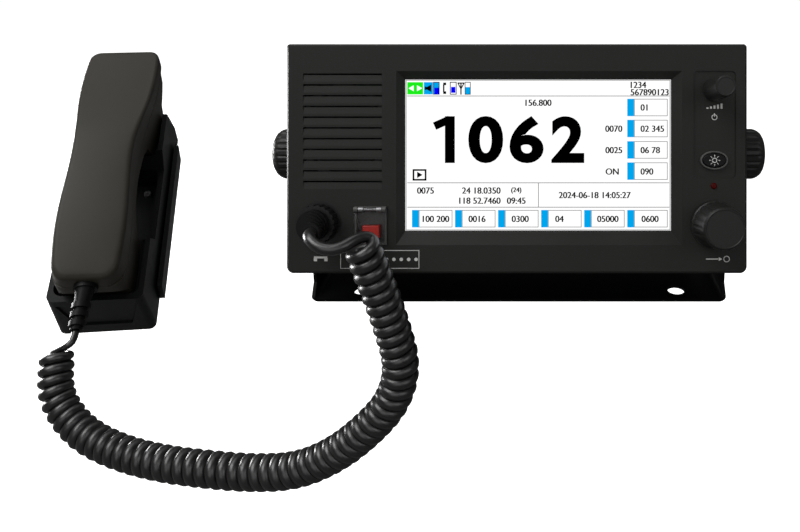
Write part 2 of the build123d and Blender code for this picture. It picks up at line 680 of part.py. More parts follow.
with BuildPart() as volume_knob:
    with BuildSketch(shaft_plane(VOLUME_PLACE)) as knob_profile:
        with BuildLine():
            Polyline(
                (0, KNOB_STANDOFF - INSET_DEPTH),
                (VOLUME_BASE_RADIUS, KNOB_STANDOFF - INSET_DEPTH),
                (VOLUME_BASE_RADIUS, KNOB_STANDOFF + 2),
                (VOLUME_BASE_RADIUS - 0.6, KNOB_STANDOFF + 2.6),
                (VOLUME_TIP_RADIUS, VOLUME_LENGTH),
                (0, VOLUME_LENGTH),
                close=True,
            )
        make_face()
        fillet(knob_profile.vertices().sort_by(Axis.Y)[-2:].sort_by(Axis.X)[-1], 1)
    revolve(axis=shaft_axis(VOLUME_PLACE))
    with BuildSketch(PANEL.offset(KNOB_STANDOFF - INSET_DEPTH)):
        with Locations(VOLUME_PLACE):
            Circle(SHAFT_RADIUS + RUNNING)
    extrude(amount=VOLUME_LENGTH / 2 + RUNNING + INSET_DEPTH - KNOB_STANDOFF, mode=Mode.SUBTRACT)
    with BuildSketch(PANEL.offset(VOLUME_LENGTH)):
        with Locations((VOLUME_PLACE[0], VOLUME_PLACE[1] + VOLUME_TIP_RADIUS / 2)):
            Rectangle(0.9, VOLUME_TIP_RADIUS)
    extrude(amount=-0.4, mode=Mode.SUBTRACT)
write(volume_knob, "volume_knob")

with BuildPart() as channel_knob:
    with BuildSketch(shaft_plane(CHANNEL_PLACE)) as big_profile:
        with BuildLine():
            Polyline(
                (0, KNOB_STANDOFF),
                (CHANNEL_BASE_RADIUS, KNOB_STANDOFF),
                (CHANNEL_BASE_RADIUS, KNOB_STANDOFF + 2.5),
                (CHANNEL_TIP_RADIUS, CHANNEL_LENGTH),
                (0, CHANNEL_LENGTH),
                close=True,
            )
        make_face()
        fillet(big_profile.vertices().sort_by(Axis.Y)[-2:].sort_by(Axis.X)[-1], 1.2)
    revolve(axis=shaft_axis(CHANNEL_PLACE))
    with BuildSketch(PANEL.offset(KNOB_STANDOFF + 3)):
        with Locations(CHANNEL_PLACE):
            with PolarLocations(CHANNEL_BASE_RADIUS + 0.6, CHANNEL_FLUTES):
                Circle(FLUTE_RADIUS)
    extrude(amount=CHANNEL_LENGTH, mode=Mode.SUBTRACT)
    with BuildSketch(PANEL.offset(KNOB_STANDOFF)):
        with Locations(CHANNEL_PLACE):
            Circle(SHAFT_RADIUS + RUNNING)
    extrude(amount=CHANNEL_LENGTH / 2 + RUNNING - KNOB_STANDOFF, mode=Mode.SUBTRACT)
write(channel_knob, "channel_knob")

# ------------------------------------------------------------------ dim button in its rim, and the status light
with BuildPart() as dim_rim:
    with BuildSketch(behind(PANEL_PLATE)):
        with Locations(DIM_PLACE):
            Ellipse(DIM_WIDTH / 2 + DIM_RIM, DIM_HEIGHT / 2 + DIM_RIM)
            Ellipse(DIM_WIDTH / 2 + GAP, DIM_HEIGHT / 2 + GAP, mode=Mode.SUBTRACT)
    extrude(amount=PANEL_PLATE + DIM_PROUD)
    fillet(dim_rim.faces().sort_by(OUT)[-1].edges(), 0.3)
write(dim_rim, "dim_rim")

with BuildPart() as dim_button:
    with BuildSketch(behind(CONTROL_BOARD_BEHIND - DIM_TRAVEL - GAP)):
        with Locations(DIM_PLACE):
            Ellipse(DIM_WIDTH / 2, DIM_HEIGHT / 2)
    extrude(amount=CONTROL_BOARD_BEHIND - DIM_TRAVEL - GAP + DIM_PROUD + 0.4)
    fillet(dim_button.faces().sort_by(OUT)[-1].edges(), 0.6)
write(dim_button, "dim_button")

with BuildPart() as status_led:
    with BuildSketch(behind(CONTROL_BOARD_BEHIND)):
        with Locations(LED_PLACE):
            Circle(LED_RADIUS)
    extrude(amount=CONTROL_BOARD_BEHIND + 0.9)
    fillet(status_led.faces().sort_by(OUT)[-1].edges(), 0.8)
write(status_led, "status_led")

# ------------------------------------------------------------------ distress call: housing, red button, sprung cover
EAR_LENGTH = (DISTRESS_WIDTH - 2 * SPRING_LENGTH - KNUCKLE_LENGTH - 4 * GAP) / 2

with BuildPart() as distress_housing:
    with BuildSketch(behind(DISTRESS_DEPTH)):
        with Locations(DISTRESS_PLACE):
            Rectangle(DISTRESS_WIDTH, DISTRESS_HEIGHT)
    extrude(amount=DISTRESS_DEPTH + DISTRESS_PROUD)
    with BuildSketch(PANEL.offset(DISTRESS_PROUD)):
        with Locations(DISTRESS_PLACE):
            Rectangle(DISTRESS_WIDTH - 2 * DISTRESS_WALL, DISTRESS_HEIGHT - 2 * DISTRESS_WALL)
    extrude(amount=-DISTRESS_FLOOR - DISTRESS_PROUD, mode=Mode.SUBTRACT)
    with BuildSketch(behind(DISTRESS_DEPTH)):
        with Locations(RED_PLACE):
            Rectangle(RED_WIDTH + 2 * GAP, RED_HEIGHT + 2 * GAP)
    extrude(amount=DISTRESS_DEPTH, mode=Mode.SUBTRACT)
    # ears at the top corners carry the hinge pin
    for side in (-1, 1):
        with BuildSketch(
            beside(PANEL, DISTRESS_PLACE[0] + side * (DISTRESS_WIDTH - EAR_LENGTH) / 2 - EAR_LENGTH / 2)
        ):
            with Locations((HINGE_UP, HINGE_OUT)):
                Circle(KNUCKLE_RADIUS)
            with Locations((HINGE_UP, (HINGE_OUT - DISTRESS_FLOOR) / 2)):
                Rectangle(2 * KNUCKLE_RADIUS, HINGE_OUT + DISTRESS_FLOOR)
            with Locations((HINGE_UP, HINGE_OUT)):
                Circle(HINGE_RADIUS + RUNNING, mode=Mode.SUBTRACT)
        extrude(amount=EAR_LENGTH)
write(distress_housing, "distress_housing")

with BuildPart() as distress_hinge_pin:
    with BuildSketch(beside(PANEL, DISTRESS_PLACE[0] - DISTRESS_WIDTH / 2)):
        with Locations((HINGE_UP, HINGE_OUT)):
            Circle(HINGE_RADIUS)
    extrude(amount=DISTRESS_WIDTH)
write(distress_hinge_pin, "distress_hinge_pin")

with BuildPart() as distress_spring:
    for side in (-1, 1):
        with BuildSketch(
            beside(
                PANEL,
                DISTRESS_PLACE[0] + side * (KNUCKLE_LENGTH / 2 + GAP + SPRING_LENGTH / 2) - SPRING_LENGTH / 2,
            )
        ):
            with Locations((HINGE_UP, HINGE_OUT)):
                Circle(KNUCKLE_RADIUS - 0.2)
                Circle(HINGE_RADIUS + RUNNING, mode=Mode.SUBTRACT)
        extrude(amount=SPRING_LENGTH)
write(distress_spring, "distress_spring")

with BuildPart() as distress_cover:
    # one knuckle round the pin
    with BuildSketch(beside(PANEL, DISTRESS_PLACE[0] - KNUCKLE_LENGTH / 2)):
        with Locations((HINGE_UP, HINGE_OUT)):
            Circle(KNUCKLE_RADIUS)
    extrude(amount=KNUCKLE_LENGTH)
    # the clear plate, with a tapered finger tab below it
    plate_top = HINGE_UP - DISTRESS_PLACE[1] - KNUCKLE_RADIUS - GAP
    plate_bottom = -DISTRESS_HEIGHT / 2
    with BuildSketch(PANEL.offset(HINGE_OUT)):
        with Locations(DISTRESS_PLACE):
            Polygon(
                (-DISTRESS_WIDTH / 2, plate_top),
                (DISTRESS_WIDTH / 2, plate_top),
                (DISTRESS_WIDTH / 2, plate_bottom),
                (DISTRESS_WIDTH / 4, plate_bottom - COVER_TAB),
                (-DISTRESS_WIDTH / 4, plate_bottom - COVER_TAB),
                (-DISTRESS_WIDTH / 2, plate_bottom),
                align=None,
            )
            with Locations((0, plate_top + KNUCKLE_RADIUS / 2)):
                Rectangle(KNUCKLE_LENGTH, KNUCKLE_RADIUS + 2 * GAP)
    extrude(amount=COVER_THICKNESS)
    with BuildSketch(beside(PANEL, DISTRESS_PLACE[0] - KNUCKLE_LENGTH / 2)):
        with Locations((HINGE_UP, HINGE_OUT)):
            Circle(HINGE_RADIUS + RUNNING)
    extrude(amount=KNUCKLE_LENGTH, mode=Mode.SUBTRACT)
write(distress_cover, "distress_cover")

with BuildPart() as distress_button:
    with BuildSketch(behind(DISTRESS_DEPTH - RED_TRAVEL)):
        with Locations(RED_PLACE):
            Rectangle(RED_WIDTH, RED_HEIGHT)
    extrude(amount=DISTRESS_DEPTH - RED_TRAVEL + DISTRESS_PROUD)
    fillet(distress_button.faces().sort_by(OUT)[-1].edges(), 0.6)
write(distress_button, "distress_button")

# ------------------------------------------------------------------ handset socket, plug, ring and boot
with BuildPart() as handset_socket:
    with BuildSketch(behind(SOCKET_FLANGE)):
        with Locations(SOCKET_PLACE):
            Circle(SOCKET_RADIUS)
    extrude(amount=SOCKET_FLANGE)
    with BuildSketch(behind(SOCKET_LENGTH)):
        with Locations(SOCKET_PLACE):
            Circle(SOCKET_BODY_RADIUS)
    extrude(amount=SOCKET_LENGTH)
    with BuildSketch(behind(PANEL_PLATE)):
        with Locations(SOCKET_PLACE):
            RegularPolygon(SOCKET_NUT_RADIUS, 6)
    extrude(amount=-SOCKET_NUT_THICKNESS)
    with BuildSketch(PANEL):
        with Locations(SOCKET_PLACE):
            Circle(PLUG_BODY_RADIUS + RUNNING)
    extrude(amount=4 - SOCKET_LENGTH, mode=Mode.SUBTRACT)
write(handset_socket, "handset_socket")

with BuildPart() as plug_body:
    with BuildSketch(behind(SOCKET_LENGTH - 4)):
        with Locations(SOCKET_PLACE):
            Circle(PLUG_BODY_RADIUS)
    extrude(amount=SOCKET_LENGTH - 4 + GAP + PLUG_RING_LENGTH + 2 * GAP)
write(plug_body, "plug_body")

with BuildPart() as plug_ring:
    with BuildSketch(PANEL.offset(GAP)):
        with Locations(SOCKET_PLACE):
            Circle(PLUG_RING_RADIUS)
            with PolarLocations(PLUG_RING_RADIUS + 0.5, 20):
                Circle(1.1, mode=Mode.SUBTRACT)
            Circle(PLUG_BODY_RADIUS + RUNNING, mode=Mode.SUBTRACT)
    extrude(amount=PLUG_RING_LENGTH)
write(plug_ring, "plug_ring")

BOOT_START = 3 * GAP + PLUG_RING_LENGTH
with BuildPart() as plug_boot:
    with BuildSketch(PANEL.offset(BOOT_START)):
        with Locations(SOCKET_PLACE):
            Circle(PLUG_BOOT_RADIUS)
    with BuildSketch(PANEL.offset(BOOT_START + PLUG_BOOT_LENGTH * 0.45)):
        with Locations((SOCKET_PLACE[0] + PLUG_BOOT_SIDE[0] * 0.2, SOCKET_PLACE[1] + PLUG_BOOT_SIDE[1] * 0.2)):
            Circle(PLUG_BOOT_RADIUS * 0.68)
    with BuildSketch(PANEL.offset(BOOT_START + PLUG_BOOT_LENGTH)):
        with Locations((SOCKET_PLACE[0] + PLUG_BOOT_SIDE[0], SOCKET_PLACE[1] + PLUG_BOOT_SIDE[1])):
            Circle(LEAD_RADIUS + 1)
    loft()
    for number in range(PLUG_BOOT_RIBS):
        share = (number + 0.5) / PLUG_BOOT_RIBS
        with BuildSketch(PANEL.offset(BOOT_START + PLUG_BOOT_LENGTH * share)):
            with Locations(
                (
                    SOCKET_PLACE[0] + PLUG_BOOT_SIDE[0] * share**2,
                    SOCKET_PLACE[1] + PLUG_BOOT_SIDE[1] * share**2,
                )
            ):
                Circle(PLUG_BOOT_RADIUS * (1.02 - 0.45 * share))
        extrude(amount=PLUG_BOOT_LENGTH / PLUG_BOOT_RIBS / 2)
write(plug_boot, "plug_boot")

# ------------------------------------------------------------------ sockets on the back
with BuildPart() as antenna_socket:
    with BuildSketch(behind(BACK_BEHIND)):
        with Locations(ANTENNA_PLACE):
            RectangleRounded(ANTENNA_FLANGE, ANTENNA_FLANGE, 2)
            with GridLocations(18.3, 18.3, 2, 2):
                Circle(1.6, mode=Mode.SUBTRACT)
    extrude(amount=-ANTENNA_FLANGE_THICKNESS)
    with BuildSketch(behind(BACK_BEHIND - HOUSING_WALL - 6)):
        with Locations(ANTENNA_PLACE):
            Circle(ANTENNA_RADIUS)
    extrude(amount=-(HOUSING_WALL + 6 + ANTENNA_FLANGE_THICKNESS + ANTENNA_LENGTH))
    with BuildSketch(behind(BACK_BEHIND + ANTENNA_FLANGE_THICKNESS + ANTENNA_LENGTH)):
        with Locations(ANTENNA_PLACE):
            Circle(ANTENNA_RADIUS - 1.6)
            Circle(2.6, mode=Mode.SUBTRACT)
    extrude(amount=ANTENNA_LENGTH / 2, mode=Mode.SUBTRACT)
write(antenna_socket, "antenna_socket")

with BuildPart() as power_socket:
    with BuildSketch(behind(BACK_BEHIND - HOUSING_WALL - 6)):
        with Locations(POWER_PLACE):
            Rectangle(*POWER_SIZE)
    extrude(amount=-(HOUSING_WALL + 6 + REAR_SOCKET_PROUD))
    with BuildSketch(behind(BACK_BEHIND + REAR_SOCKET_PROUD)):
        with Locations(POWER_PLACE):
            Rectangle(POWER_SIZE[0] - 4, POWER_SIZE[1] - 4)
            with GridLocations(6, 1, 3, 1):
                Circle(1.2, mode=Mode.SUBTRACT)
    extrude(amount=REAR_SOCKET_PROUD, mode=Mode.SUBTRACT)
write(power_socket, "power_socket")

with BuildPart() as data_socket:
    with BuildSketch(behind(BACK_BEHIND - HOUSING_WALL - 6)):
        with Locations(DATA_PLACE):
            Circle(DATA_RADIUS)
    extrude(amount=-(HOUSING_WALL + 6 + REAR_SOCKET_PROUD))
    with BuildSketch(behind(BACK_BEHIND + REAR_SOCKET_PROUD)):
        with Locations(DATA_PLACE):
            Circle(DATA_RADIUS - 1.8)
            with PolarLocations(3.6, 5):
                Circle(0.8, mode=Mode.SUBTRACT)
    extrude(amount=REAR_SOCKET_PROUD, mode=Mode.SUBTRACT)
write(data_socket, "data_socket")

with BuildPart() as earth_stud:
    with BuildSketch(behind(BACK_BEHIND - HOUSING_WALL)):
        with Locations(EARTH_PLACE):
            Circle(EARTH_RADIUS)
    extrude(amount=-(HOUSING_WALL + EARTH_LENGTH))
    with BuildSketch(behind(BACK_BEHIND)):
        with Locations(EARTH_PLACE):
            RegularPolygon(4.6, 6)
    extrude(amount=-4)
write(earth_stud, "earth_stud")

# ------------------------------------------------------------------ trunnion bracket
with BuildPart() as trunnion_bracket:
    with BuildSketch(Plane.XZ.offset(-BRACKET_DEPTH / 2)) as channel:
        with Locations((0, PIVOT_HEIGHT / 2)):
            Rectangle(BRACKET_WIDTH, PIVOT_HEIGHT)
        fillet(channel.vertices().group_by(Axis.Y)[0], BRACKET_BEND)
    extrude(amount=BRACKET_DEPTH)
    with BuildSketch(Plane.XZ.offset(-BRACKET_DEPTH / 2)) as inside:
        with Locations((0, SHEET + PIVOT_HEIGHT / 2)):
            Rectangle(BRACKET_WIDTH - 2 * SHEET, PIVOT_HEIGHT)
        fillet(inside.vertices().group_by(Axis.Y)[0], BRACKET_BEND - SHEET)
    extrude(amount=BRACKET_DEPTH, mode=Mode.SUBTRACT)
    # each arm narrows from the bend to its round head
    with BuildSketch(Plane.YZ.offset(-BRACKET_WIDTH / 2)) as arm:
        with BuildLine():
            Polyline(
                (-BRACKET_DEPTH / 2, 0),
                (BRACKET_DEPTH / 2, 0),
                (BRACKET_DEPTH / 2, SHEET + 1),
                (ARM_FOOT, SHEET + 8),
                (ARM_TOP, PIVOT_HEIGHT),
                (-ARM_TOP, PIVOT_HEIGHT),
                (-ARM_FOOT, SHEET + 8),
                (-BRACKET_DEPTH / 2, SHEET + 1),
                close=True,
            )
        make_face()
    extrude(amount=BRACKET_WIDTH, mode=Mode.INTERSECT)
    for side in (-1, 1):
        head = Plane(origin=PIVOT + Vector(side * ARM_INSIDE, 0, 0), x_dir=(0, 1, 0), z_dir=(side, 0, 0))
        with BuildSketch(head):
            Circle(ARM_TOP)
        extrude(amount=SHEET)
        with BuildSketch(head):
            Circle(STUD_RADIUS + GAP)
        extrude(amount=SHEET, mode=Mode.SUBTRACT)
    with BuildSketch(Plane.XY):
        with GridLocations(BOLT_SPACING_X, BOLT_SPACING_Y, 2, 2):
            Circle(BOLT_RADIUS)
    extrude(amount=SHEET, mode=Mode.SUBTRACT)
write(trunnion_bracket, "trunnion_bracket")

# ------------------------------------------------------------------ friction washers, clamp washers, studs and knobs
with BuildPart() as friction_washers:
    for side in (-1, 1):
        with BuildSketch(
            Plane(origin=PIVOT + Vector(side * ARM_INSIDE, 0, 0), x_dir=(0, 1, 0), z_dir=(side, 0, 0))
        ):
            Circle(BOSS_RADIUS)
            Circle(STUD_RADIUS + GAP, mode=Mode.SUBTRACT)
        extrude(amount=-FRICTION_WASHER)
write(friction_washers, "friction_washers")

WASHER_START = BRACKET_WIDTH / 2 + RUNNING
KNOB_START = WASHER_START + CLAMP_WASHER + RUNNING


def clamp_side(side):
    """The washer, knob and threaded stud that clamp one arm; side is -1 on the left."""
    with BuildPart() as washer:
        with BuildSketch(
            Plane(origin=PIVOT + Vector(side * WASHER_START, 0, 0), x_dir=(0, 1, 0), z_dir=(side, 0, 0))
        ):
            Circle(CLAMP_WASHER_RADIUS)
            Circle(STUD_RADIUS + RUNNING, mode=Mode.SUBTRACT)
        extrude(amount=CLAMP_WASHER)
    knob_plane = Plane(origin=PIVOT + Vector(side * KNOB_START, 0, 0), x_dir=(0, 1, 0), z_dir=(side, 0, 0))
    tip = Axis(PIVOT, (side, 0, 0))
    with BuildPart() as knob:
        with BuildSketch(knob_plane):
            Circle(KNOB_RADIUS - 2.5)
        extrude(amount=3)
        with BuildSketch(knob_plane.offset(3)):
            Circle(KNOB_RADIUS)
            with PolarLocations(KNOB_RADIUS + 0.3, KNOB_FLUTES):
                Circle(FLUTE_RADIUS, mode=Mode.SUBTRACT)
        extrude(amount=KNOB_LENGTH - 3 - KNOB_DOME)
        with BuildSketch(knob_plane.offset(KNOB_LENGTH - KNOB_DOME)):
            Circle(KNOB_RADIUS - FLUTE_RADIUS + 0.3)
        extrude(amount=KNOB_DOME)
        fillet(knob.faces().sort_by(tip)[-1].edges(), KNOB_DOME - 0.4)
        with BuildSketch(knob_plane):
            Circle(STUD_RADIUS)
        extrude(amount=KNOB_LENGTH - 8, mode=Mode.SUBTRACT)
    with BuildPart() as stud:
        with BuildSketch(knob_plane.offset(KNOB_LENGTH - 8)):
            Circle(STUD_RADIUS)
        extrude(amount=-(KNOB_LENGTH - 8 + KNOB_START - BOSS_END + STUD_LENGTH - 1))
    return washer, knob, stud


for side, name in ((-1, "left"), (1, "right")):
    clamp_washer, clamp_knob, clamp_stud = clamp_side(side)
    write(clamp_washer, f"{name}_clamp_washer")
    write(clamp_knob, f"{name}_clamp_knob")
    write(clamp_stud, f"{name}_clamp_stud")

# ------------------------------------------------------------------ cradle
SKIRT_WALL = (BACK_PLATE_WIDTH - CRADLE_WIDTH) / 2 - GAP
CRADLE_SCREWS = Locations(
    *[
        (side * CRADLE_SCREW_ASIDE, end)
        for side in (-1, 1)
        for end in (RECESS_START + CRADLE_SCREW_IN, RECESS_END - CRADLE_SCREW_IN)
    ]
)

with BuildPart() as cradle_back_plate:
    with BuildSketch(CRADLE) as plate_outline:
        with Locations((0, (BACK_PLATE_START + BACK_PLATE_END) / 2)):
            Rectangle(BACK_PLATE_WIDTH, BACK_PLATE_END - BACK_PLATE_START)
        chamfer(plate_outline.vertices().group_by(Axis.Y)[-1], 8)
    extrude(amount=SKIRT_HEIGHT)
    with BuildSketch(CRADLE.offset(BACK_PLATE_THICKNESS)):
        with Locations((0, (BACK_PLATE_START + BACK_PLATE_END) / 2)):
            Rectangle(BACK_PLATE_WIDTH - 2 * SKIRT_WALL, BACK_PLATE_END - BACK_PLATE_START)
    extrude(amount=SKIRT_HEIGHT, mode=Mode.SUBTRACT)
    with BuildSketch(CRADLE):
        with Locations((0, (RECESS_START + RECESS_END) / 2)):
            with GridLocations(1, CRADLE_BOLT_SPACING, 1, 2):
                Circle(CRADLE_BOLT_RADIUS)
        with CRADLE_SCREWS:
            Circle(SCREW_RADIUS + RUNNING)
    extrude(amount=BACK_PLATE_THICKNESS, mode=Mode.SUBTRACT)
write(cradle_back_plate, "cradle_back_plate")

with BuildPart() as cradle_body:
    # side view: cup with its rim, low waist, raised ear block, sloping end
    with BuildSketch(beside(CRADLE, -CRADLE_WIDTH / 2)) as side_view:
        with BuildLine():
            Polyline(
                (0, 0),
                (0, CRADLE_RIM),
                (CUP_LENGTH, CRADLE_RIM),
                (RECESS_START, CRADLE_WAIST),
                (RECESS_END, CRADLE_WAIST),
                (EAR_START + 3, CRADLE_TOP),
                (CRADLE_LENGTH - 12, CRADLE_TOP),
                (CRADLE_LENGTH, SKIRT_HEIGHT),
                (CRADLE_LENGTH, BACK_PLATE_THICKNESS),
                (BACK_PLATE_START - GAP, BACK_PLATE_THICKNESS),
                (BACK_PLATE_START - GAP, 0),
                close=True,
            )
        make_face()
    extrude(amount=CRADLE_WIDTH)
    # the sides lean in, and the corners of the lower end are round
    with BuildSketch(CRADLE) as foot_outline:
        with Locations((0, CRADLE_LENGTH / 2 + CRADLE_WIDTH / 2)):
            Rectangle(CRADLE_WIDTH, CRADLE_LENGTH + CRADLE_WIDTH)
        fillet(foot_outline.vertices().group_by(Axis.Y)[0], CRADLE_CORNER)
    with BuildSketch(CRADLE.offset(CRADLE_TOP)) as rim_outline:
        with Locations((0, CRADLE_LENGTH / 2 + CRADLE_WIDTH / 2)):
            Rectangle(CRADLE_WIDTH - 2 * CRADLE_TOP * tan(radians(CRADLE_DRAFT)), CRADLE_LENGTH + CRADLE_WIDTH)
        fillet(rim_outline.vertices().group_by(Axis.Y)[0], CRADLE_CORNER)
    loft(mode=Mode.INTERSECT)
    # cup for the mouthpiece, recess for the fingers, seat for the earpiece
    with BuildSketch(CRADLE.offset(CUP_FLOOR)):
        with Locations((0, (CRADLE_WALL + RECESS_START) / 2)):
            RectangleRounded(CUP_WIDTH, RECESS_START - CRADLE_WALL, 6)
        with Locations((0, (EAR_START + CRADLE_LENGTH - CRADLE_WALL) / 2)):
            RectangleRounded(CUP_WIDTH, CRADLE_LENGTH - CRADLE_WALL - EAR_START, 6)
    extrude(amount=CRADLE_TOP, mode=Mode.SUBTRACT)
    with BuildSketch(CRADLE.offset(RECESS_FLOOR)):
        with Locations((0, (RECESS_START + RECESS_END) / 2)):
            RectangleRounded(CUP_WIDTH, RECESS_END - RECESS_START, 5)
    extrude(amount=CRADLE_TOP, mode=Mode.SUBTRACT)
    # sunk panel on the lower end
    with BuildSketch(Plane(origin=CRADLE.origin, x_dir=CRADLE.x_dir, z_dir=-CRADLE.y_dir)):
        with Locations((0, CRADLE_RIM / 2 + 3)):
            Trapezoid(CRADLE_WIDTH - 14, CRADLE_RIM - 22, 78, rotation=180)
    extrude(amount=-1.4, mode=Mode.SUBTRACT)
    # bolt holes through the floor of the recess
    with BuildSketch(CRADLE.offset(BACK_PLATE_THICKNESS)):
        with Locations((0, (RECESS_START + RECESS_END) / 2)):
            with GridLocations(1, CRADLE_BOLT_SPACING, 1, 2):
                Circle(CRADLE_BOLT_RADIUS)
        with CRADLE_SCREWS:
            Circle(SCREW_RADIUS + RUNNING)
    extrude(amount=RECESS_FLOOR, mode=Mode.SUBTRACT)
write(cradle_body, "cradle_body")


# ------------------------------------------------------------------ handset
def handset_outline(inset):
    """The handset seen on its back: full at the mouth, narrow in the hand, widest at the ear."""
    start = HANDSET_START + inset
    end = HANDSET_END - inset
    with BuildSketch() as outline:
        with BuildLine():
            right_side = Spline(
                (MOUTH_WIDTH / 2 - 2 - inset, start),
                (MOUTH_WIDTH / 2 - inset, MOUTH_CENTRE),
                (GRIP_WIDTH / 2 - inset, PTT_PLACE),
                (EAR_WIDTH / 2 - inset, HANDSET_END - 25),
                (EAR_WIDTH / 2 - 0.5 - inset, end),
            )
            mirror(right_side, about=Plane.YZ)
            Line(right_side @ 0, (-(right_side @ 0).X, start))
            Line(right_side @ 1, (-(right_side @ 1).X, end))
        make_face()
        fillet(outline.vertices(), HANDSET_CORNER - inset)
    return outline.sketch


def handset_profile(inset):
    """Side view of the lower half: mouth cup, arched grip, ear cup."""
    low = HANDSET_CUP + inset
    grip = HANDSET_GRIP + inset
    shoulder = grip - 5
    with BuildSketch() as profile:
        with BuildLine():
            Polyline(
                (HANDSET_START, HANDSET_PARTING),
                (HANDSET_START, HANDSET_PARTING - 9 + inset),
                (MOUTH_CENTRE - CUP_RADIUS - 1 + inset, shoulder - 4),
                (MOUTH_CENTRE - CUP_RADIUS + inset, low),
                (MOUTH_CENTRE + CUP_RADIUS - inset, low),
                (MOUTH_CENTRE + CUP_RADIUS + 10 - inset, shoulder),
                (MOUTH_CENTRE + CUP_RADIUS + 21 - inset, grip),
                (EAR_CENTRE - CUP_RADIUS - 17 + inset, grip),
                (EAR_CENTRE - CUP_RADIUS - 7 + inset, shoulder),
                (EAR_CENTRE - CUP_RADIUS + inset, low),
                (EAR_CENTRE + CUP_RADIUS - 1 - inset, low),
                (EAR_CENTRE + CUP_RADIUS - inset, shoulder - 4),
                (HANDSET_END, HANDSET_PARTING - 7 + inset),
                (HANDSET_END, HANDSET_PARTING),
                close=True,
            )
        make_face()
        fillet(profile.vertices().group_by(Axis.Y)[0], 4)
    return profile.sketch


with BuildPart() as handset_back_shell:
    with BuildSketch(CRADLE.offset(HANDSET_PARTING)):
        add(handset_outline(0))
    extrude(amount=HANDSET_BACK - HANDSET_PARTING)
    fillet(handset_back_shell.faces().sort_by(CRADLE_OUT)[-1].edges(), HANDSET_ROUND)
    with BuildSketch(CRADLE.offset(HANDSET_PARTING)):
        add(handset_outline(HANDSET_WALL))
    extrude(amount=HANDSET_BACK - HANDSET_PARTING - HANDSET_ROUND, mode=Mode.SUBTRACT)
    # posts that take the handset screws
    with BuildSketch(CRADLE.offset(HANDSET_PARTING)):
        with Locations((0, PTT_PLACE)):
            with GridLocations(1, HANDSET_SCREW_SPACING, 1, 2):
                Circle(SCREW_RADIUS + 2)
                Circle(SCREW_RADIUS + RUNNING, mode=Mode.SUBTRACT)
    extrude(amount=HANDSET_BACK - HANDSET_PARTING - HANDSET_ROUND)
write(handset_back_shell, "handset_back_shell")

with BuildPart() as handset_front_shell:
    with BuildSketch(beside(CRADLE, -CRADLE_WIDTH / 2)):
        add(handset_profile(0))
    extrude(amount=CRADLE_WIDTH)
    with BuildSketch(CRADLE):
        add(handset_outline(0))
    extrude(amount=HANDSET_BACK, mode=Mode.INTERSECT)
    # hollow, open to the back shell
    with BuildPart(mode=Mode.PRIVATE) as handset_inside:
        with BuildSketch(beside(CRADLE, -CRADLE_WIDTH / 2)):
            add(handset_profile(HANDSET_WALL))
        extrude(amount=CRADLE_WIDTH)
        with BuildSketch(CRADLE):
            add(handset_outline(HANDSET_WALL))
        extrude(amount=HANDSET_BACK, mode=Mode.INTERSECT)
    add(handset_inside.part, mode=Mode.SUBTRACT)
    # sound holes under the earpiece and the microphone
    with BuildSketch(CRADLE.offset(HANDSET_CUP)):
        with Locations((0, EAR_CENTRE)):
            with PolarLocations(6, 6):
                Circle(1.2)
            Circle(1.2)
        with Locations((0, MOUTH_CENTRE)):
            with GridLocations(5, 1, 3, 1):
                Circle(1)
    extrude(amount=HANDSET_WALL, mode=Mode.SUBTRACT)
    # opening for the talk button, and the gap round the cord boot
    with BuildSketch(CRADLE.offset(HANDSET_GRIP)):
        with Locations((0, PTT_PLACE)):
            RectangleRounded(PTT_WIDTH + 2 * GAP, PTT_LENGTH + 2 * GAP, 3)
    extrude(amount=HANDSET_WALL, mode=Mode.SUBTRACT)
    # posts round the handset screws, with their heads sunk in the grip
    with BuildSketch(CRADLE.offset(HANDSET_GRIP)):
        with Locations((0, PTT_PLACE)):
            with GridLocations(1, HANDSET_SCREW_SPACING, 1, 2):
                Circle(SCREW_HEAD_RADIUS + 1.2)
    extrude(amount=HANDSET_PARTING - HANDSET_GRIP)
    with BuildSketch(CRADLE.offset(HANDSET_GRIP)):
        with Locations((0, PTT_PLACE)):
            with GridLocations(1, HANDSET_SCREW_SPACING, 1, 2):
                Circle(SCREW_HEAD_RADIUS)
    extrude(amount=SCREW_HEAD_HEIGHT + 1, mode=Mode.SUBTRACT)
    with BuildSketch(CRADLE.offset(HANDSET_GRIP)):
        with Locations((0, PTT_PLACE)):
            with GridLocations(1, HANDSET_SCREW_SPACING, 1, 2):
                Circle(SCREW_RADIUS + RUNNING)
    extrude(amount=HANDSET_PARTING - HANDSET_GRIP, mode=Mode.SUBTRACT)
write(handset_front_shell, "handset_front_shell")

with BuildPart() as handset_screws:
    with BuildSketch(CRADLE.offset(HANDSET_GRIP + SCREW_HEAD_HEIGHT + 1)):
        with Locations((0, PTT_PLACE)):
            with GridLocations(1, HANDSET_SCREW_SPACING, 1, 2):
                Circle(SCREW_HEAD_RADIUS - RUNNING)
    extrude(amount=-SCREW_HEAD_HEIGHT)
    with BuildSketch(CRADLE.offset(HANDSET_GRIP + SCREW_HEAD_HEIGHT + 1)):
        with Locations((0, PTT_PLACE)):
            with GridLocations(1, HANDSET_SCREW_SPACING, 1, 2):
                Circle(SCREW_RADIUS)
    extrude(amount=HANDSET_PARTING - HANDSET_GRIP)
    with BuildSketch(CRADLE.offset(HANDSET_GRIP + 1)):
        with Locations((0, PTT_PLACE)):
            with GridLocations(1, HANDSET_SCREW_SPACING, 1, 2):
                RegularPolygon(SCREW_RADIUS, 6)
    extrude(amount=SCREW_HEAD_HEIGHT / 2, mode=Mode.SUBTRACT)
write(handset_screws, "handset_screws")

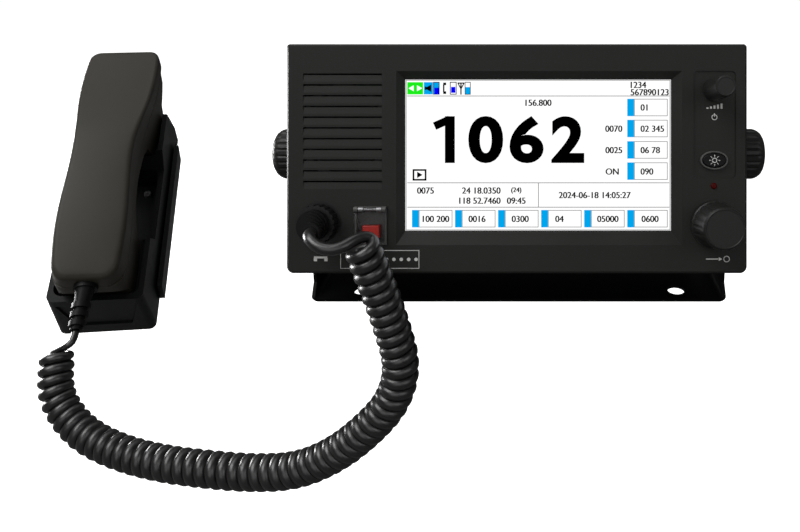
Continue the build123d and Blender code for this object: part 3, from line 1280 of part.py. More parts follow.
with BuildPart() as earpiece:
    with BuildSketch(CRADLE.offset(HANDSET_CUP + HANDSET_WALL)):
        with Locations((0, EAR_CENTRE)):
            Circle(CUP_RADIUS - 7)
    extrude(amount=8)
write(earpiece, "earpiece")

with BuildPart() as microphone:
    with BuildSketch(CRADLE.offset(HANDSET_CUP + HANDSET_WALL)):
        with Locations((0, MOUTH_CENTRE)):
            Circle(7.5)
    extrude(amount=6)
write(microphone, "microphone")

with BuildPart() as handset_board:
    with BuildSketch(CRADLE.offset(HANDSET_PARTING)):
        with Locations((0, PTT_PLACE)):
            Rectangle(GRIP_WIDTH - 2 * HANDSET_WALL - 1, HANDSET_BOARD_LENGTH)
    extrude(amount=-BOARD_THICKNESS)
write(handset_board, "handset_board")

with BuildPart() as hook_magnet:
    with BuildSketch(CRADLE.offset(HANDSET_CUP + HANDSET_WALL)):
        with Locations((0, MOUTH_CENTRE + 13)):
            Rectangle(10, 6)
    extrude(amount=4)
write(hook_magnet, "hook_magnet")

with BuildPart() as ptt_button:
    with BuildSketch(CRADLE.offset(HANDSET_GRIP - PTT_PROUD)):
        with Locations((0, PTT_PLACE)):
            RectangleRounded(PTT_WIDTH, PTT_LENGTH, 3)
    extrude(amount=HANDSET_PARTING - BOARD_THICKNESS - PTT_TRAVEL - GAP - HANDSET_GRIP + PTT_PROUD)
    fillet(ptt_button.faces().sort_by(CRADLE_OUT)[0].edges(), 1)
write(ptt_button, "ptt_button")

# ribbed boot on the lower end, which bends a little towards the console
with BuildPart() as handset_boot:
    boot_plane = Plane(
        origin=CRADLE.from_local_coords(Vector(0, HANDSET_START, BOOT_ABOVE)),
        x_dir=CRADLE.x_dir,
        z_dir=-CRADLE.y_dir,
    )
    with BuildSketch(boot_plane):
        Circle(BOOT_RADIUS)
    with BuildSketch(boot_plane.offset(BOOT_LENGTH * 0.5)):
        with Locations((-1, BOOT_DROOP * 0.25)):
            Circle((BOOT_RADIUS + BOOT_TIP_RADIUS) / 2 - 1)
    with BuildSketch(boot_plane.offset(BOOT_LENGTH)):
        with Locations((-2, BOOT_DROOP)):
            Circle(BOOT_TIP_RADIUS - 0.4)
    loft()
    for number in range(BOOT_RIBS):
        share = (number + 2.2) / (BOOT_RIBS + 2.2)
        with BuildSketch(boot_plane.offset(BOOT_LENGTH * share)):
            with Locations((-2 * share, BOOT_DROOP * share**2)):
                Circle(BOOT_RADIUS - 0.2 - (BOOT_RADIUS - BOOT_TIP_RADIUS - 0.8) * share)
        extrude(amount=BOOT_LENGTH / (BOOT_RIBS + 2.2) * 0.62)
    with BuildSketch(boot_plane):
        Circle(BOOT_RADIUS + 0.9)
    extrude(amount=3)
write(handset_boot, "handset_boot")

with BuildPart() as cradle_screws:
    with BuildSketch(CRADLE.offset(RECESS_FLOOR)):
        with CRADLE_SCREWS:
            Circle(SCREW_HEAD_RADIUS)
    extrude(amount=SCREW_HEAD_HEIGHT)
    with BuildSketch(CRADLE.offset(RECESS_FLOOR + SCREW_HEAD_HEIGHT)):
        with CRADLE_SCREWS:
            RegularPolygon(SCREW_RADIUS, 6)
    extrude(amount=-SCREW_HEAD_HEIGHT / 2, mode=Mode.SUBTRACT)
    with BuildSketch(CRADLE.offset(RECESS_FLOOR)):
        with CRADLE_SCREWS:
            Circle(SCREW_RADIUS)
    extrude(amount=0.5 - RECESS_FLOOR)
write(cradle_screws, "cradle_screws")


# ------------------------------------------------------------------ curly cord
def tube(route, radius):
    """A round tube along a route of straight runs joined by tangent arcs."""
    points = [Vector(*point) for point in route]
    radii = []
    for before, corner, after in zip(points, points[1:], points[2:]):
        turn = (corner - before).get_angle(after - corner)
        shorter = min((corner - before).length, (after - corner).length)
        radii.append(0.45 * shorter / tan(radians(turn / 2)))
    with BuildPart() as cord:
        with BuildLine() as path:
            FilletPolyline(*points, radius=radii)
        centre_line = path.wires()[0]
        with BuildSketch(Plane(origin=centre_line @ 0, z_dir=centre_line % 0)):
            Circle(radius)
        sweep()
    print(
        "length", round(centre_line.length, 1),
        "smallest bend", round(min(radii), 1),
        "volume over section times length", round(cord.part.volume / (3.14159 * radius**2 * centre_line.length), 4),
    )
    return cord


plug_tip = PANEL.offset(BOOT_START + PLUG_BOOT_LENGTH).from_local_coords(
    Vector(SOCKET_PLACE[0] + PLUG_BOOT_SIDE[0], SOCKET_PLACE[1] + PLUG_BOOT_SIDE[1], 0)
)
cord_lead_at_radio = tube([tuple(plug_tip), *RADIO_LEAD_ROUTE], LEAD_RADIUS)
write(cord_lead_at_radio, "cord_lead_at_radio")
# the two halves of the coil meet in the middle of its route
half = len(COIL_ROUTE) // 2
coil_middle = (Vector(*COIL_ROUTE[half - 1]) + Vector(*COIL_ROUTE[half])) / 2
cord_coil_near_radio = tube([*COIL_ROUTE[:half], tuple(coil_middle)], COIL_RADIUS)
write(cord_coil_near_radio, "cord_coil_near_radio")
cord_coil_near_handset = tube([tuple(coil_middle), *COIL_ROUTE[half:]], COIL_RADIUS)
write(cord_coil_near_handset, "cord_coil_near_handset")
handset_tip = boot_plane.from_local_coords(Vector(-2, BOOT_DROOP, BOOT_LENGTH))
cord_lead_at_handset = tube([tuple(handset_tip), *HANDSET_LEAD_ROUTE], LEAD_RADIUS)
write(cord_lead_at_handset, "cord_lead_at_handset")
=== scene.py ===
import json
import math

import bmesh
import bpy
from mathutils import Matrix, Vector


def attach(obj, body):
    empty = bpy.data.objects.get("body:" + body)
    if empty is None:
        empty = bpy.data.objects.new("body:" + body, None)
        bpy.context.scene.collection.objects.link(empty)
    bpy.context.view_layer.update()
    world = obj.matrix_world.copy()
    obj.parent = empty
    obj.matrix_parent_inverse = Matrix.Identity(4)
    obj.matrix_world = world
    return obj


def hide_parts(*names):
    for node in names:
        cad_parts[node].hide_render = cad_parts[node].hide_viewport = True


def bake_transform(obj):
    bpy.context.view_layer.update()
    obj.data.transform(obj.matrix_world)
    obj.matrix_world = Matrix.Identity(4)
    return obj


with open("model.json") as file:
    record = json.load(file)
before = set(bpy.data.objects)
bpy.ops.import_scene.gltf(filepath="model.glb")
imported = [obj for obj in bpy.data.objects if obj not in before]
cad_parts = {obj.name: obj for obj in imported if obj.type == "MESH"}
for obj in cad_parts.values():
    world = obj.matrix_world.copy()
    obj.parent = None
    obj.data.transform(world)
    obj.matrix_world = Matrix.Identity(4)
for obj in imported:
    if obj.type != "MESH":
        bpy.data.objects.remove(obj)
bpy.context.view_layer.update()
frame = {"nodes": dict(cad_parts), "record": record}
bpy.ops.object.select_all(action="DESELECT")
scene = bpy.context.scene

# ---------------------------------------------------------------- studio
# A pale floor below the lowest loop of the cord, a white surround and large soft lamps.
# Camera rays see plain white; the lamps and the dim surround light the radio itself.


def pale_floor(name):
    """A floor that the camera sees as white with a faint shadow, and that throws little light up."""
    shade = bpy.data.materials.new(name)
    shade.use_nodes = True
    tree = shade.node_tree
    bright = tree.nodes["Principled BSDF"]
    bright.inputs["Base Color"].default_value = (0.9, 0.9, 0.9, 1)
    bright.inputs["Roughness"].default_value = 0.9
    bright.inputs["Emission Color"].default_value = (1, 1, 1, 1)
    bright.inputs["Emission Strength"].default_value = 0.9
    dull = tree.nodes.new("ShaderNodeBsdfPrincipled")
    dull.inputs["Base Color"].default_value = (0.12, 0.12, 0.12, 1)
    dull.inputs["Roughness"].default_value = 0.9
    rays = tree.nodes.new("ShaderNodeLightPath")
    either = tree.nodes.new("ShaderNodeMixShader")
    tree.links.new(rays.outputs["Is Camera Ray"], either.inputs["Fac"])
    tree.links.new(dull.outputs["BSDF"], either.inputs[1])
    tree.links.new(bright.outputs["BSDF"], either.inputs[2])
    tree.links.new(either.outputs["Shader"], tree.nodes["Material Output"].inputs["Surface"])
    return shade


FLOOR_Z = -0.16
bpy.ops.mesh.primitive_plane_add(size=12, location=(0, 0, FLOOR_Z))
floor = bpy.context.object
floor.name = "studio_floor"
floor.data.materials.append(pale_floor("studio_floor"))

world = bpy.data.worlds.new("studio")
scene.world = world
world.use_nodes = True
sky = world.node_tree
background = sky.nodes["Background"]
rays = sky.nodes.new("ShaderNodeLightPath")
seen = sky.nodes.new("ShaderNodeMath")
seen.operation = "MAXIMUM"
sky.links.new(rays.outputs["Is Camera Ray"], seen.inputs[0])
sky.links.new(rays.outputs["Is Transmission Ray"], seen.inputs[1])
# the surround is plain white to the camera and through glass, and dim to everything else
level = sky.nodes.new("ShaderNodeMapRange")
level.inputs["To Min"].default_value = 0.1
level.inputs["To Max"].default_value = 1.0
sky.links.new(seen.outputs[0], level.inputs["Value"])
sky.links.new(level.outputs["Result"], background.inputs["Strength"])
background.inputs["Color"].default_value = (1, 1, 1, 1)


def softbox(name, place, aim, width, watts):
    """A square area lamp pointed at a place on the radio."""
    bpy.ops.object.light_add(type="AREA", location=place)
    lamp = bpy.context.object
    lamp.name = name
    lamp.data.size = width
    lamp.data.energy = watts
    lamp.rotation_euler = (Vector(aim) - Vector(place)).to_track_quat("-Z", "Y").to_euler()


softbox("lamp_over_left", (-1.0, -0.5, 1.6), (-0.15, 0, 0), 1.2, 20)
softbox("lamp_above", (-0.5, 0.5, 1.7), (-0.15, 0, 0), 1.2, 5)
softbox("lamp_over_right", (1.1, -1.1, 0.9), (0.1, 0, 0.05), 1.0, 4)
softbox("lamp_front", (-0.2, -1.7, 0.9), (0, 0, 0), 1.5, 6)
softbox("lamp_behind", (0.4, 1.6, 1.4), (0, 0, 0), 1.4, 2)
softbox("lamp_left", (-1.1, 0.48, -0.08), (-0.3, 0.05, 0.02), 0.5, 26)

# the camera looks 20 degrees down from in front of the radio, shifted towards the handset
CAMERA_PITCH = math.radians(70)
bpy.ops.object.camera_add(location=(0.0132, -0.4286, 0.2431), rotation=(CAMERA_PITCH, 0, 0))
camera = bpy.context.object
camera.data.lens = 32.4
camera.data.shift_x = -0.175
camera.data.shift_y = -0.145
camera.data.clip_start = 0.01
scene.camera = camera
scene.view_settings.view_transform = "Standard"

# ---------------------------------------------------------------- finishes
# The panel, bracket, castings, handset and cradle are dark moulded or coated parts, told apart
# by their grain, sheen and depth of black. Each finish below belongs to one of the part's slots.


class Wire:
    """An output in a material's nodes that takes part in sums; node() adds any other node."""

    def __init__(self, tree, socket=None):
        self.tree = tree
        self.socket = socket

    def node(self, kind, settings=None, inputs=None, output=0):
        made = self.tree.nodes.new("ShaderNode" + kind)
        for name, value in (settings or {}).items():
            if name == "stops":
                while len(made.color_ramp.elements) < len(value):
                    made.color_ramp.elements.new(0.5)
                for element, (position, colour) in zip(made.color_ramp.elements, value):
                    element.position = position
                    element.color = colour
            else:
                setattr(made, name, value)
        for name, value in (inputs or {}).items():
            if isinstance(value, Wire):
                self.tree.links.new(value.socket, made.inputs[name])
            else:
                made.inputs[name].default_value = value
        return Wire(self.tree, made.outputs[output])

    def maths(self, operation, first, second):
        return self.node("Math", {"operation": operation}, {0: first, 1: second})

    def __add__(self, other):
        return self.maths("ADD", self, other)

    def __mul__(self, other):
        return self.maths("MULTIPLY", self, other)

    __radd__ = __add__
    __rmul__ = __mul__


FINISHES = {}
CLOUD_SCALE = 28.0
CLOUD_SHEEN = 0.16
SPECK_SHEEN = 0.06


def finish(name, colour, roughness, grain=0.0006, depth=0.00002, mottle=0.12, **plain):
    """A moulded, coated or rubber finish: fine grain, faint mottling and uneven sheen.

    grain is the size of a speck and depth its relief, in metres; mottle is the share by which
    the colour varies; plain holds constants of the shader's other sockets.
    """
    made = bpy.data.materials.new(name)
    made.use_nodes = True
    tree = made.node_tree
    surface = tree.nodes["Principled BSDF"]
    start = Wire(tree)
    place = start.node("TexCoord", output=3)
    cloud = start.node("TexNoise", inputs={"Vector": place, "Scale": CLOUD_SCALE, "Detail": 3.0})
    speck = start.node("TexNoise", inputs={"Vector": place, "Scale": 1 / grain, "Detail": 2.0})
    dark = tuple(c * (1 - mottle) for c in colour)
    light = tuple(c * (1 + mottle) for c in colour)
    tone = start.node(
        "ValToRGB",
        {"stops": [(0.3, (*dark, 1)), (0.7, (*light, 1))]},
        {"Fac": cloud * 0.55 + speck * 0.45},
    )
    tree.links.new(tone.socket, surface.inputs["Base Color"])
    sheen = cloud * CLOUD_SHEEN + speck * SPECK_SHEEN + (roughness - (CLOUD_SHEEN + SPECK_SHEEN) / 2)
    tree.links.new(sheen.socket, surface.inputs["Roughness"])
    bump = start.node("Bump", inputs={"Strength": 1.0, "Distance": depth, "Height": speck})
    tree.links.new(bump.socket, surface.inputs["Normal"])
    for socket, value in plain.items():
        surface.inputs[socket.replace("_", " ")].default_value = value
    FINISHES[name] = made
    return made


def lit(name, colour, strength=1.0):
    """One colour of the lit screen."""
    made = bpy.data.materials.new(name)
    made.use_nodes = True
    surface = made.node_tree.nodes["Principled BSDF"]
    surface.inputs["Base Color"].default_value = (*(0.1 * c for c in colour), 1)
    surface.inputs["Roughness"].default_value = 0.35
    surface.inputs["Specular IOR Level"].default_value = 0.0
    surface.inputs["Emission Color"].default_value = (*colour, 1)
    surface.inputs["Emission Strength"].default_value = strength
    return made


# each row: slot, colour, roughness, then grain, relief and mottling where they differ
finish("panel_moulding", (0.0185, 0.0195, 0.0172), 0.5, 0.00045, Specular_IOR_Level=0.2)
finish("grey_trim", (0.085, 0.085, 0.082), 0.42, Specular_IOR_Level=0.3)
finish("soft_rubber", (0.003, 0.003, 0.003), 0.5, 0.0004, Specular_IOR_Level=0.2)
finish("black_casting", (0.006, 0.006, 0.006), 0.5, 0.0008, 0.00005, Specular_IOR_Level=0.25)
finish("bright_steel", (0.3, 0.3, 0.31), 0.42, 0.0005, 0.00001, 0.05, Metallic=1.0)
finish("black_steel", (0.01, 0.01, 0.01), 0.45, Specular_IOR_Level=0.3)
finish("paper_cone", (0.02, 0.02, 0.022), 0.8, 0.0009, 0.00006)
finish("green_board", (0.01, 0.09, 0.035), 0.35, 0.0015, 0.00001)
finish("aluminium_block", (0.6, 0.6, 0.61), 0.38, 0.0005, 0.00001, 0.05, Metallic=1.0)
finish("red_lens", (0.06, 0.001, 0.001), 0.35, 0.0005, 0.000004, 0.2, Specular_IOR_Level=0.1)
finish("black_fitting", (0.006, 0.006, 0.006), 0.42, 0.0005, Specular_IOR_Level=0.3)
finish("plated_brass", (0.6, 0.58, 0.5), 0.28, 0.0005, 0.00001, 0.06, Metallic=1.0)
finish("cord_rubber", (0.009, 0.0084, 0.0082), 0.34, 0.0009, mottle=0.2, Specular_IOR_Level=0.9)
finish("knob_plastic", (0.014, 0.0145, 0.0132), 0.4, 0.0004, 0.000015, Specular_IOR_Level=0.3)
finish("red_plastic", (0.62, 0.02, 0.01), 0.4, 0.0005, 0.00001)
finish("handset_plastic", (0.034, 0.031, 0.0235), 0.48, 0.00035, 0.00003, Specular_IOR_Level=0.3)
finish("bracket_paint", (0.0012, 0.0012, 0.0013), 0.5, 0.0007, 0.00003, Specular_IOR_Level=0.12)
finish("cradle_plastic", (0.0035, 0.0052, 0.0042), 0.45, 0.0004, 0.00003, Specular_IOR_Level=0.2)
finish("screen_module", (0.5, 0.52, 0.54), 0.4)

# the clear parts: a smoked glass over the screen and a plain clear cover
for name, colour, alpha in (
    ("screen_glass", (0.02, 0.02, 0.02), 0.3),
    ("clear_plastic", (0.03, 0.03, 0.03), 0.12),
):
    clear = bpy.data.materials.new(name)
    clear.use_nodes = True
    surface = clear.node_tree.nodes["Principled BSDF"]
    surface.inputs["Base Color"].default_value = (*colour, 1)
    surface.inputs["Roughness"].default_value = 0.08
    surface.inputs["Alpha"].default_value = alpha
    FINISHES[name] = clear

for entry in frame["record"]["subparts"]:
    for slot in frame["nodes"][entry["node"]].material_slots:
        slot.material = FINISHES[entry["material_slot"]]

# ---------------------------------------------------------------- lit screen
# A seven inch colour panel, bright white, with grey rules, blue key tabs, black figures and a
# few small status symbols. All of it lies just in front of the glass, inside the window.
PIVOT_HEIGHT = 0.0845
PANEL_AHEAD = 0.048
PANEL_DROP = 0.0025
tilt = math.radians(20)
panel_out = Vector((0, -math.cos(tilt), math.sin(tilt)))
panel_up = Vector((0, math.sin(tilt), math.cos(tilt)))
panel_middle = Vector((0, 0, PIVOT_HEIGHT)) + panel_out * PANEL_AHEAD - panel_up * PANEL_DROP
panel_place = Matrix.Translation(panel_middle) @ Matrix(
    ((1, 0, 0), (0, panel_up.y, panel_out.y), (0, panel_up.z, panel_out.z))
).to_4x4()


def settle(piece, name, place, body, slot, material=None):
    """Moves a finished piece from where it was made flat to its place, and fixes it to its body."""
    bpy.context.view_layer.update()
    piece.data.transform(place @ piece.matrix_world)
    piece.matrix_world = Matrix.Identity(4)
    piece.name = piece.data.name = name
    piece.data.materials.clear()
    piece.data.materials.append(material or FINISHES[slot])
    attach(piece, body)
    return piece


def joined(pieces):
    """One piece out of several."""
    bpy.ops.object.select_all(action="DESELECT")
    for piece in pieces:
        piece.select_set(True)
    bpy.context.view_layer.objects.active = pieces[0]
    if len(pieces) > 1:
        bpy.ops.object.join()
    bpy.ops.object.transform_apply(location=True, rotation=True, scale=True)
    return bpy.context.object


FILM = 0.00003


def bar(across, up, width, height, level):
    """A flat bar; places in mm from the panel's middle, level in metres from its face."""
    bpy.ops.mesh.primitive_cube_add(size=1, location=(across / 1000, up / 1000, level + FILM / 2))
    bpy.context.object.scale = (width / 1000, height / 1000, FILM)
    return bpy.context.object


def outline(across, up, width, height, line, level):
    """Four thin bars round a rectangle."""
    return [
        bar(across, up + side * (height - line) / 2, width, line, level) for side in (-1, 1)
    ] + [
        bar(across + side * (width - line) / 2, up, line, height - 2 * line, level) for side in (-1, 1)
    ]


def disc(across, up, radius, level, sides=40, turn=0.0):
    """A flat disc, or with few sides a triangle or diamond."""
    bpy.ops.mesh.primitive_cylinder_add(
        vertices=sides,
        radius=radius / 1000,
        depth=FILM,
        location=(across / 1000, up / 1000, level + FILM / 2),
        rotation=(0, 0, math.radians(turn)),
    )
    return bpy.context.object


def ring(across, up, radius, line, level):
    """A flat ring."""
    bpy.ops.mesh.primitive_cylinder_add(
        vertices=48,
        radius=(radius + line / 2) / 1000,
        depth=FILM,
        end_fill_type="NOTHING",
        location=(across / 1000, up / 1000, level + FILM / 2),
    )
    band = bpy.context.object
    wall = band.modifiers.new("wall", "SOLIDIFY")
    wall.thickness = line / 1000
    wall.offset = -1
    bpy.ops.object.modifier_apply(modifier=wall.name)
    return band


TEXT_EXTRUDE = 0.01


def figures(text, across, up, height, level, weight=0.0, anchor="CENTER", width=None, narrow=1.0):
    """Plain figures of a given height in mm, made a mesh."""
    bpy.ops.object.text_add()
    line = bpy.context.object
    line.data.body = text
    line.data.offset = weight
    line.data.extrude = TEXT_EXTRUDE
    line.data.resolution_u = 6
    bpy.ops.object.convert(target="MESH")
    line = bpy.context.object
    xs = [vertex.co.x for vertex in line.data.vertices]
    ys = [vertex.co.y for vertex in line.data.vertices]
    tall = height / 1000 / (max(ys) - min(ys))
    wide = tall * narrow if width is None else width / 1000 / (max(xs) - min(xs))
    shift = {"CENTER": (max(xs) + min(xs)) / 2, "LEFT": min(xs), "RIGHT": max(xs)}[anchor]
    line.data.transform(
        Matrix.Translation((across / 1000, up / 1000, level + FILM / 2))
        @ Matrix.Diagonal((wide, tall, FILM / (2 * TEXT_EXTRUDE), 1))
        @ Matrix.Translation((-shift, -(max(ys) + min(ys)) / 2, 0))
    )
    return line


# the picture is laid out on a grid from its upper left corner, five squares to a step
SCREEN_STEP = 0.5677
GRID = SCREEN_STEP / 5


def shown(x, y):
    """Across and up, in mm from the panel's middle, of a place on the screen grid."""
    return (x / 5 - 120.7) * SCREEN_STEP, (88.6 - y / 5) * SCREEN_STEP


def picture(pieces, name, light):
    """Joins one colour of the picture and fixes it in front of the screen module."""
    return settle(joined(pieces), name, panel_place, "radio", "screen_module", light)


# the white ground, the colours on it and the black that overlies them, a film apart
GROUND = -0.00348
LAYER = GROUND + FILM
OVER = LAYER + FILM

picture([bar(*shown(710, 425), 152.1, 86.5, GROUND)], "screen_ground", lit("screen_white", (1, 1, 1)))

rules = []
for y in (127, 565, 688):
    left, right = shown(50, y), shown(1372, y)
    rules.append(bar((left[0] + right[0]) / 2, left[1], right[0] - left[0], 0.5, LAYER))
top, bottom = shown(712, 565), shown(712, 688)
rules.append(bar(top[0], (top[1] + bottom[1]) / 2, 0.5, top[1] - bottom[1], LAYER))
rules += outline(*shown(710, 425), 1336 * GRID, 760 * GRID, 0.5, LAYER)
keys = [(1160, 141), (1160, 247), (1160, 355), (1160, 462)]
foot_keys = [(74 + 217.2 * number, 702) for number in range(6)]
for x, y in keys + foot_keys:
    rules += outline(*shown(x + 119, y + 44), 170 * GRID, 88 * GRID, 0.45, LAYER)
picture(rules, "screen_rules", lit("screen_grey", (0.3, 0.3, 0.3)))

tabs = [bar(*shown(x + 17, y + 44), 34 * GRID, 88 * GRID, LAYER) for x, y in keys + foot_keys]
tabs.append(bar(*shown(157, 88), 46 * GRID, 62 * GRID, LAYER))
tabs.append(bar(*shown(197, 88), 30 * GRID, 60 * GRID, LAYER))
tabs.append(bar(*shown(355, 100), 26 * GRID, 36 * GRID, LAYER))
picture(tabs, "screen_tabs", lit("screen_blue", (0.0, 0.36, 0.8)))

green = [bar(*shown(90, 88), 80 * GRID, 62 * GRID, LAYER)]
picture(green, "screen_green", lit("screen_green", (0.01, 0.8, 0.01)))

pale = [
    disc(*shown(74, 88), 2.0, OVER, sides=3, turn=90),
    disc(*shown(108, 88), 2.0, OVER, sides=3, turn=-90),
]
picture(pale, "screen_arrows", lit("screen_pale", (1, 1, 1)))

deep = [
    bar(*shown(199, 102), 24 * GRID, 34 * GRID, OVER),
    bar(*shown(282, 96), 22 * GRID, 30 * GRID, OVER),
]
picture(deep, "screen_levels", lit("screen_deep_blue", (0.0, 0.0, 0.9)))

# the large channel figures; the first is a plain stroke with a flag
ink = []
for text, x, y, wide, tall in (
    ("0", 446, 347, 176, 238),
    ("6", 652, 347, 172, 238),
    ("2", 860, 347, 166, 236),
):
    ink.append(figures(text, *shown(x, y), tall * GRID, LAYER, 0.035, width=wide * GRID))
ink.append(bar(*shown(265, 347), 50 * GRID, 236 * GRID, LAYER))
flag = bar(*shown(226, 262), 84 * GRID, 40 * GRID, LAYER)
flag.rotation_euler = (0, 0, math.radians(24))
ink.append(flag)
# the small figures, each thickened by three copies side by side
SMALL = 32 * GRID
NUDGE = 0.16
for text, x, y, anchor in (
    ("156.800", 712, 161, "CENTER"),
    ("1234", 1178, 71, "LEFT"),
    ("567890123", 1178, 108, "LEFT"),
    ("0070", 1092, 292, "CENTER"),
    ("0025", 1092, 400, "CENTER"),
    ("ON", 1084, 508, "CENTER"),
    ("01", 1228, 185, "LEFT"),
    ("02 345", 1228, 292, "LEFT"),
    ("06 78", 1228, 400, "LEFT"),
    ("090", 1228, 508, "LEFT"),
    ("24 18.0350", 520, 604, "RIGHT"),
    ("118 52.7460", 520, 655, "RIGHT"),
    ("(24)", 600, 604, "CENTER"),
    ("09:45", 600, 655, "CENTER"),
    ("0075", 142, 604, "CENTER"),
    ("2024-06-18 14:05:27", 996, 627, "CENTER"),
    ("100 200", 195, 747, "CENTER"),
    ("0016", 402, 747, "CENTER"),
    ("0300", 620, 747, "CENTER"),
    ("04", 818, 747, "CENTER"),
    ("05000", 1062, 747, "CENTER"),
    ("0600", 1275, 747, "CENTER"),
):
    across, up = shown(x, y)
    for nudge in (-NUDGE, 0, NUDGE):
        ink.append(figures(text, across + nudge, up, SMALL, OVER, anchor=anchor, narrow=0.95))
# the status symbols along the top and the small key at the left
ink += outline(*shown(197, 88), 32 * GRID, 64 * GRID, 0.45, OVER)
ink += outline(*shown(282, 88), 34 * GRID, 64 * GRID, 0.45, OVER)
ink += outline(*shown(355, 88), 30 * GRID, 64 * GRID, 0.4, OVER)
ink += outline(*shown(112, 525), 70 * GRID, 58 * GRID, 1.0, OVER)
ink.append(disc(*shown(109, 525), 2.1, OVER, sides=3, turn=-90))
ink.append(disc(*shown(160, 88), 2.5, OVER, sides=3, turn=90))
ink.append(bar(*shown(143, 88), 1.0, 1.9, OVER))
ink.append(bar(*shown(321, 92), 0.75, 56 * GRID, OVER))
ink.append(bar(*shown(321, 62), 34 * GRID, 0.7, OVER))
for side in (-1, 1):
    arm = bar(*shown(321 + side * 8, 76), 0.6, 34 * GRID, OVER)
    arm.rotation_euler = (0, 0, side * math.radians(-28))
    ink.append(arm)
ink.append(bar(*shown(234, 88), 0.85, 40 * GRID, OVER))
ink += [bar(*shown(239, 88 + side * 22), 1.7, 1.5, OVER) for side in (-1, 1)]
picture(ink, "screen_figures", lit("screen_black", (0, 0, 0), 0.0))

# ---------------------------------------------------------------- printed marks on the panel
# Pale ink marks beside the controls: a wedge and a circle for the volume, a sun on the oval
# key, an arrow for the large knob, a small handset, and a framed row of dots by the cover.
SUNK = -0.0008
pale_ink = finish("pale_ink", (0.62, 0.62, 0.6), 0.6, 0.0004, 0.000005)
FACE = 0.0
marks = []
for step in range(5):
    marks.append(bar(108.5 + 2 * step, 28.8 + 0.28 * step, 1.1, 0.7 + 0.56 * step, SUNK))
marks.append(ring(112.5, 23.6, 1.45, 0.42, SUNK))
marks.append(bar(112.5, 24.9, 0.5, 1.9, SUNK))
marks += outline(-77.8, -57.2, 44.8, 10.5, 0.35, FACE)
marks += [disc(-74 + 4.2 * number, -57.2, 1.0, FACE) for number in range(5)]
marks.append(bar(111.0, -57.0, 7.0, 0.5, FACE))
marks.append(disc(115.4, -57.0, 1.3, FACE, sides=3, turn=-90))
marks.append(ring(119.2, -57.0, 1.6, 0.45, FACE))
marks.append(bar(-111.4, -56.1, 7.6, 1.1, FACE))
marks += [bar(-111.4 + side * 3.0, -57.3, 1.9, 1.9, FACE) for side in (-1, 1)]
settle(joined(marks), "panel_marks", panel_place, "radio", "grey_trim", pale_ink)

DIM_KEY = (112.0, -0.9)
KEY_TOP = 0.0017
RAY_OUT = 2.6
sun = [ring(*DIM_KEY, 1.25, 0.5, KEY_TOP)]
for number in range(8):
    turn = math.tau * number / 8
    across, up = DIM_KEY[0] + RAY_OUT * math.cos(turn), DIM_KEY[1] + RAY_OUT * math.sin(turn)
    ray = bar(across, up, 1.1, 0.42, KEY_TOP)
    ray.rotation_euler = (0, 0, turn)
    sun.append(ray)
settle(joined(sun), "dim_mark", panel_place, "dim_key", "grey_trim", pale_ink)

# ---------------------------------------------------------------- grips of the knobs
# Each arm is clamped by a fat black knob with shallow grip grooves and a domed outer end. The
# channel and volume knobs have a plain foot, a tapered and grooved grip and a flat face in a
# fine rim. All are turned from a profile in mm.


def turned(profile, sides=96):
    """A closed turned shape; each row is a radius, a height and the depth of the grip grooves."""
    made = bmesh.new()
    rings = []
    for radius, height, groove in profile:
        rings.append([])
        for k in range(sides):
            out = (radius - groove * (k % 4 == 0)) / 1000
            angle = math.tau * k / sides
            corner = (out * math.cos(angle), out * math.sin(angle), height / 1000)
            rings[-1].append(made.verts.new(corner))
    for a, b in zip(rings, rings[1:]):
        for k in range(sides):
            made.faces.new((a[k], a[(k + 1) % sides], b[(k + 1) % sides], b[k]))
    made.faces.new(list(reversed(rings[0])))
    made.faces.new(rings[-1])
    mesh = bpy.data.meshes.new("turned")
    made.to_mesh(mesh)
    made.free()
    piece = bpy.data.objects.new("turned", mesh)
    scene.collection.objects.link(piece)
    bpy.ops.object.select_all(action="DESELECT")
    piece.select_set(True)
    bpy.context.view_layer.objects.active = piece
    bpy.ops.object.shade_smooth_by_angle(angle=math.radians(28))
    return piece


for side, name in ((-1, "left"), (1, "right")):
    inner = min(abs(corner[0]) for corner in frame["nodes"][name + "_clamp_knob"].bound_box)
    grip = turned(
        (
            (13.4, 0, 0), (13.4, 3, 0), (15.7, 3.1, 0.6), (15.9, 3.5, 0.7), (15.9, 16.2, 0.7),
            (15.6, 17.6, 0.5), (14.9, 19.2, 0.2), (13.7, 20.7, 0), (12.0, 21.8, 0), (10.2, 22.4, 0),
        )
    )
    outward = Matrix.Rotation(side * math.pi / 2, 4, "Y")
    place = Matrix.Translation((side * inner, 0, PIVOT_HEIGHT)) @ outward
    settle(grip, name + "_knob_grip", place, name + "_knob", "knob_plastic")
    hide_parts(name + "_clamp_knob")

KNOB_ACROSS = 0.112
for name, body, up, sides, profile in (
    (
        "channel_knob", "channel_control", -0.0372, 72,
        (
            (12.6, 1.9, 0), (13.5, 2.3, 0), (13.5, 4.6, 0), (13.0, 5.0, 0.5), (11.8, 23.4, 0.5),
            (11.6, 24.2, 0), (11.2, 25.0, 0), (10.6, 25.5, 0), (10.2, 25.5, 0), (9.9, 25.25, 0),
        ),
    ),
    (
        "volume_knob", "volume_control", 0.039, 64,
        (
            (6.0, 1.9, 0), (6.5, 2.3, 0), (6.4, 4.0, 0.15), (5.7, 25.2, 0.15), (5.5, 26.3, 0),
            (5.1, 26.8, 0), (4.6, 26.8, 0), (4.4, 26.6, 0),
        ),
    ),
):
    place = panel_place @ Matrix.Translation((KNOB_ACROSS, up, 0))
    grip = settle(turned(profile, sides), name + "_grip", place, body, "knob_plastic")
    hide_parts(name)

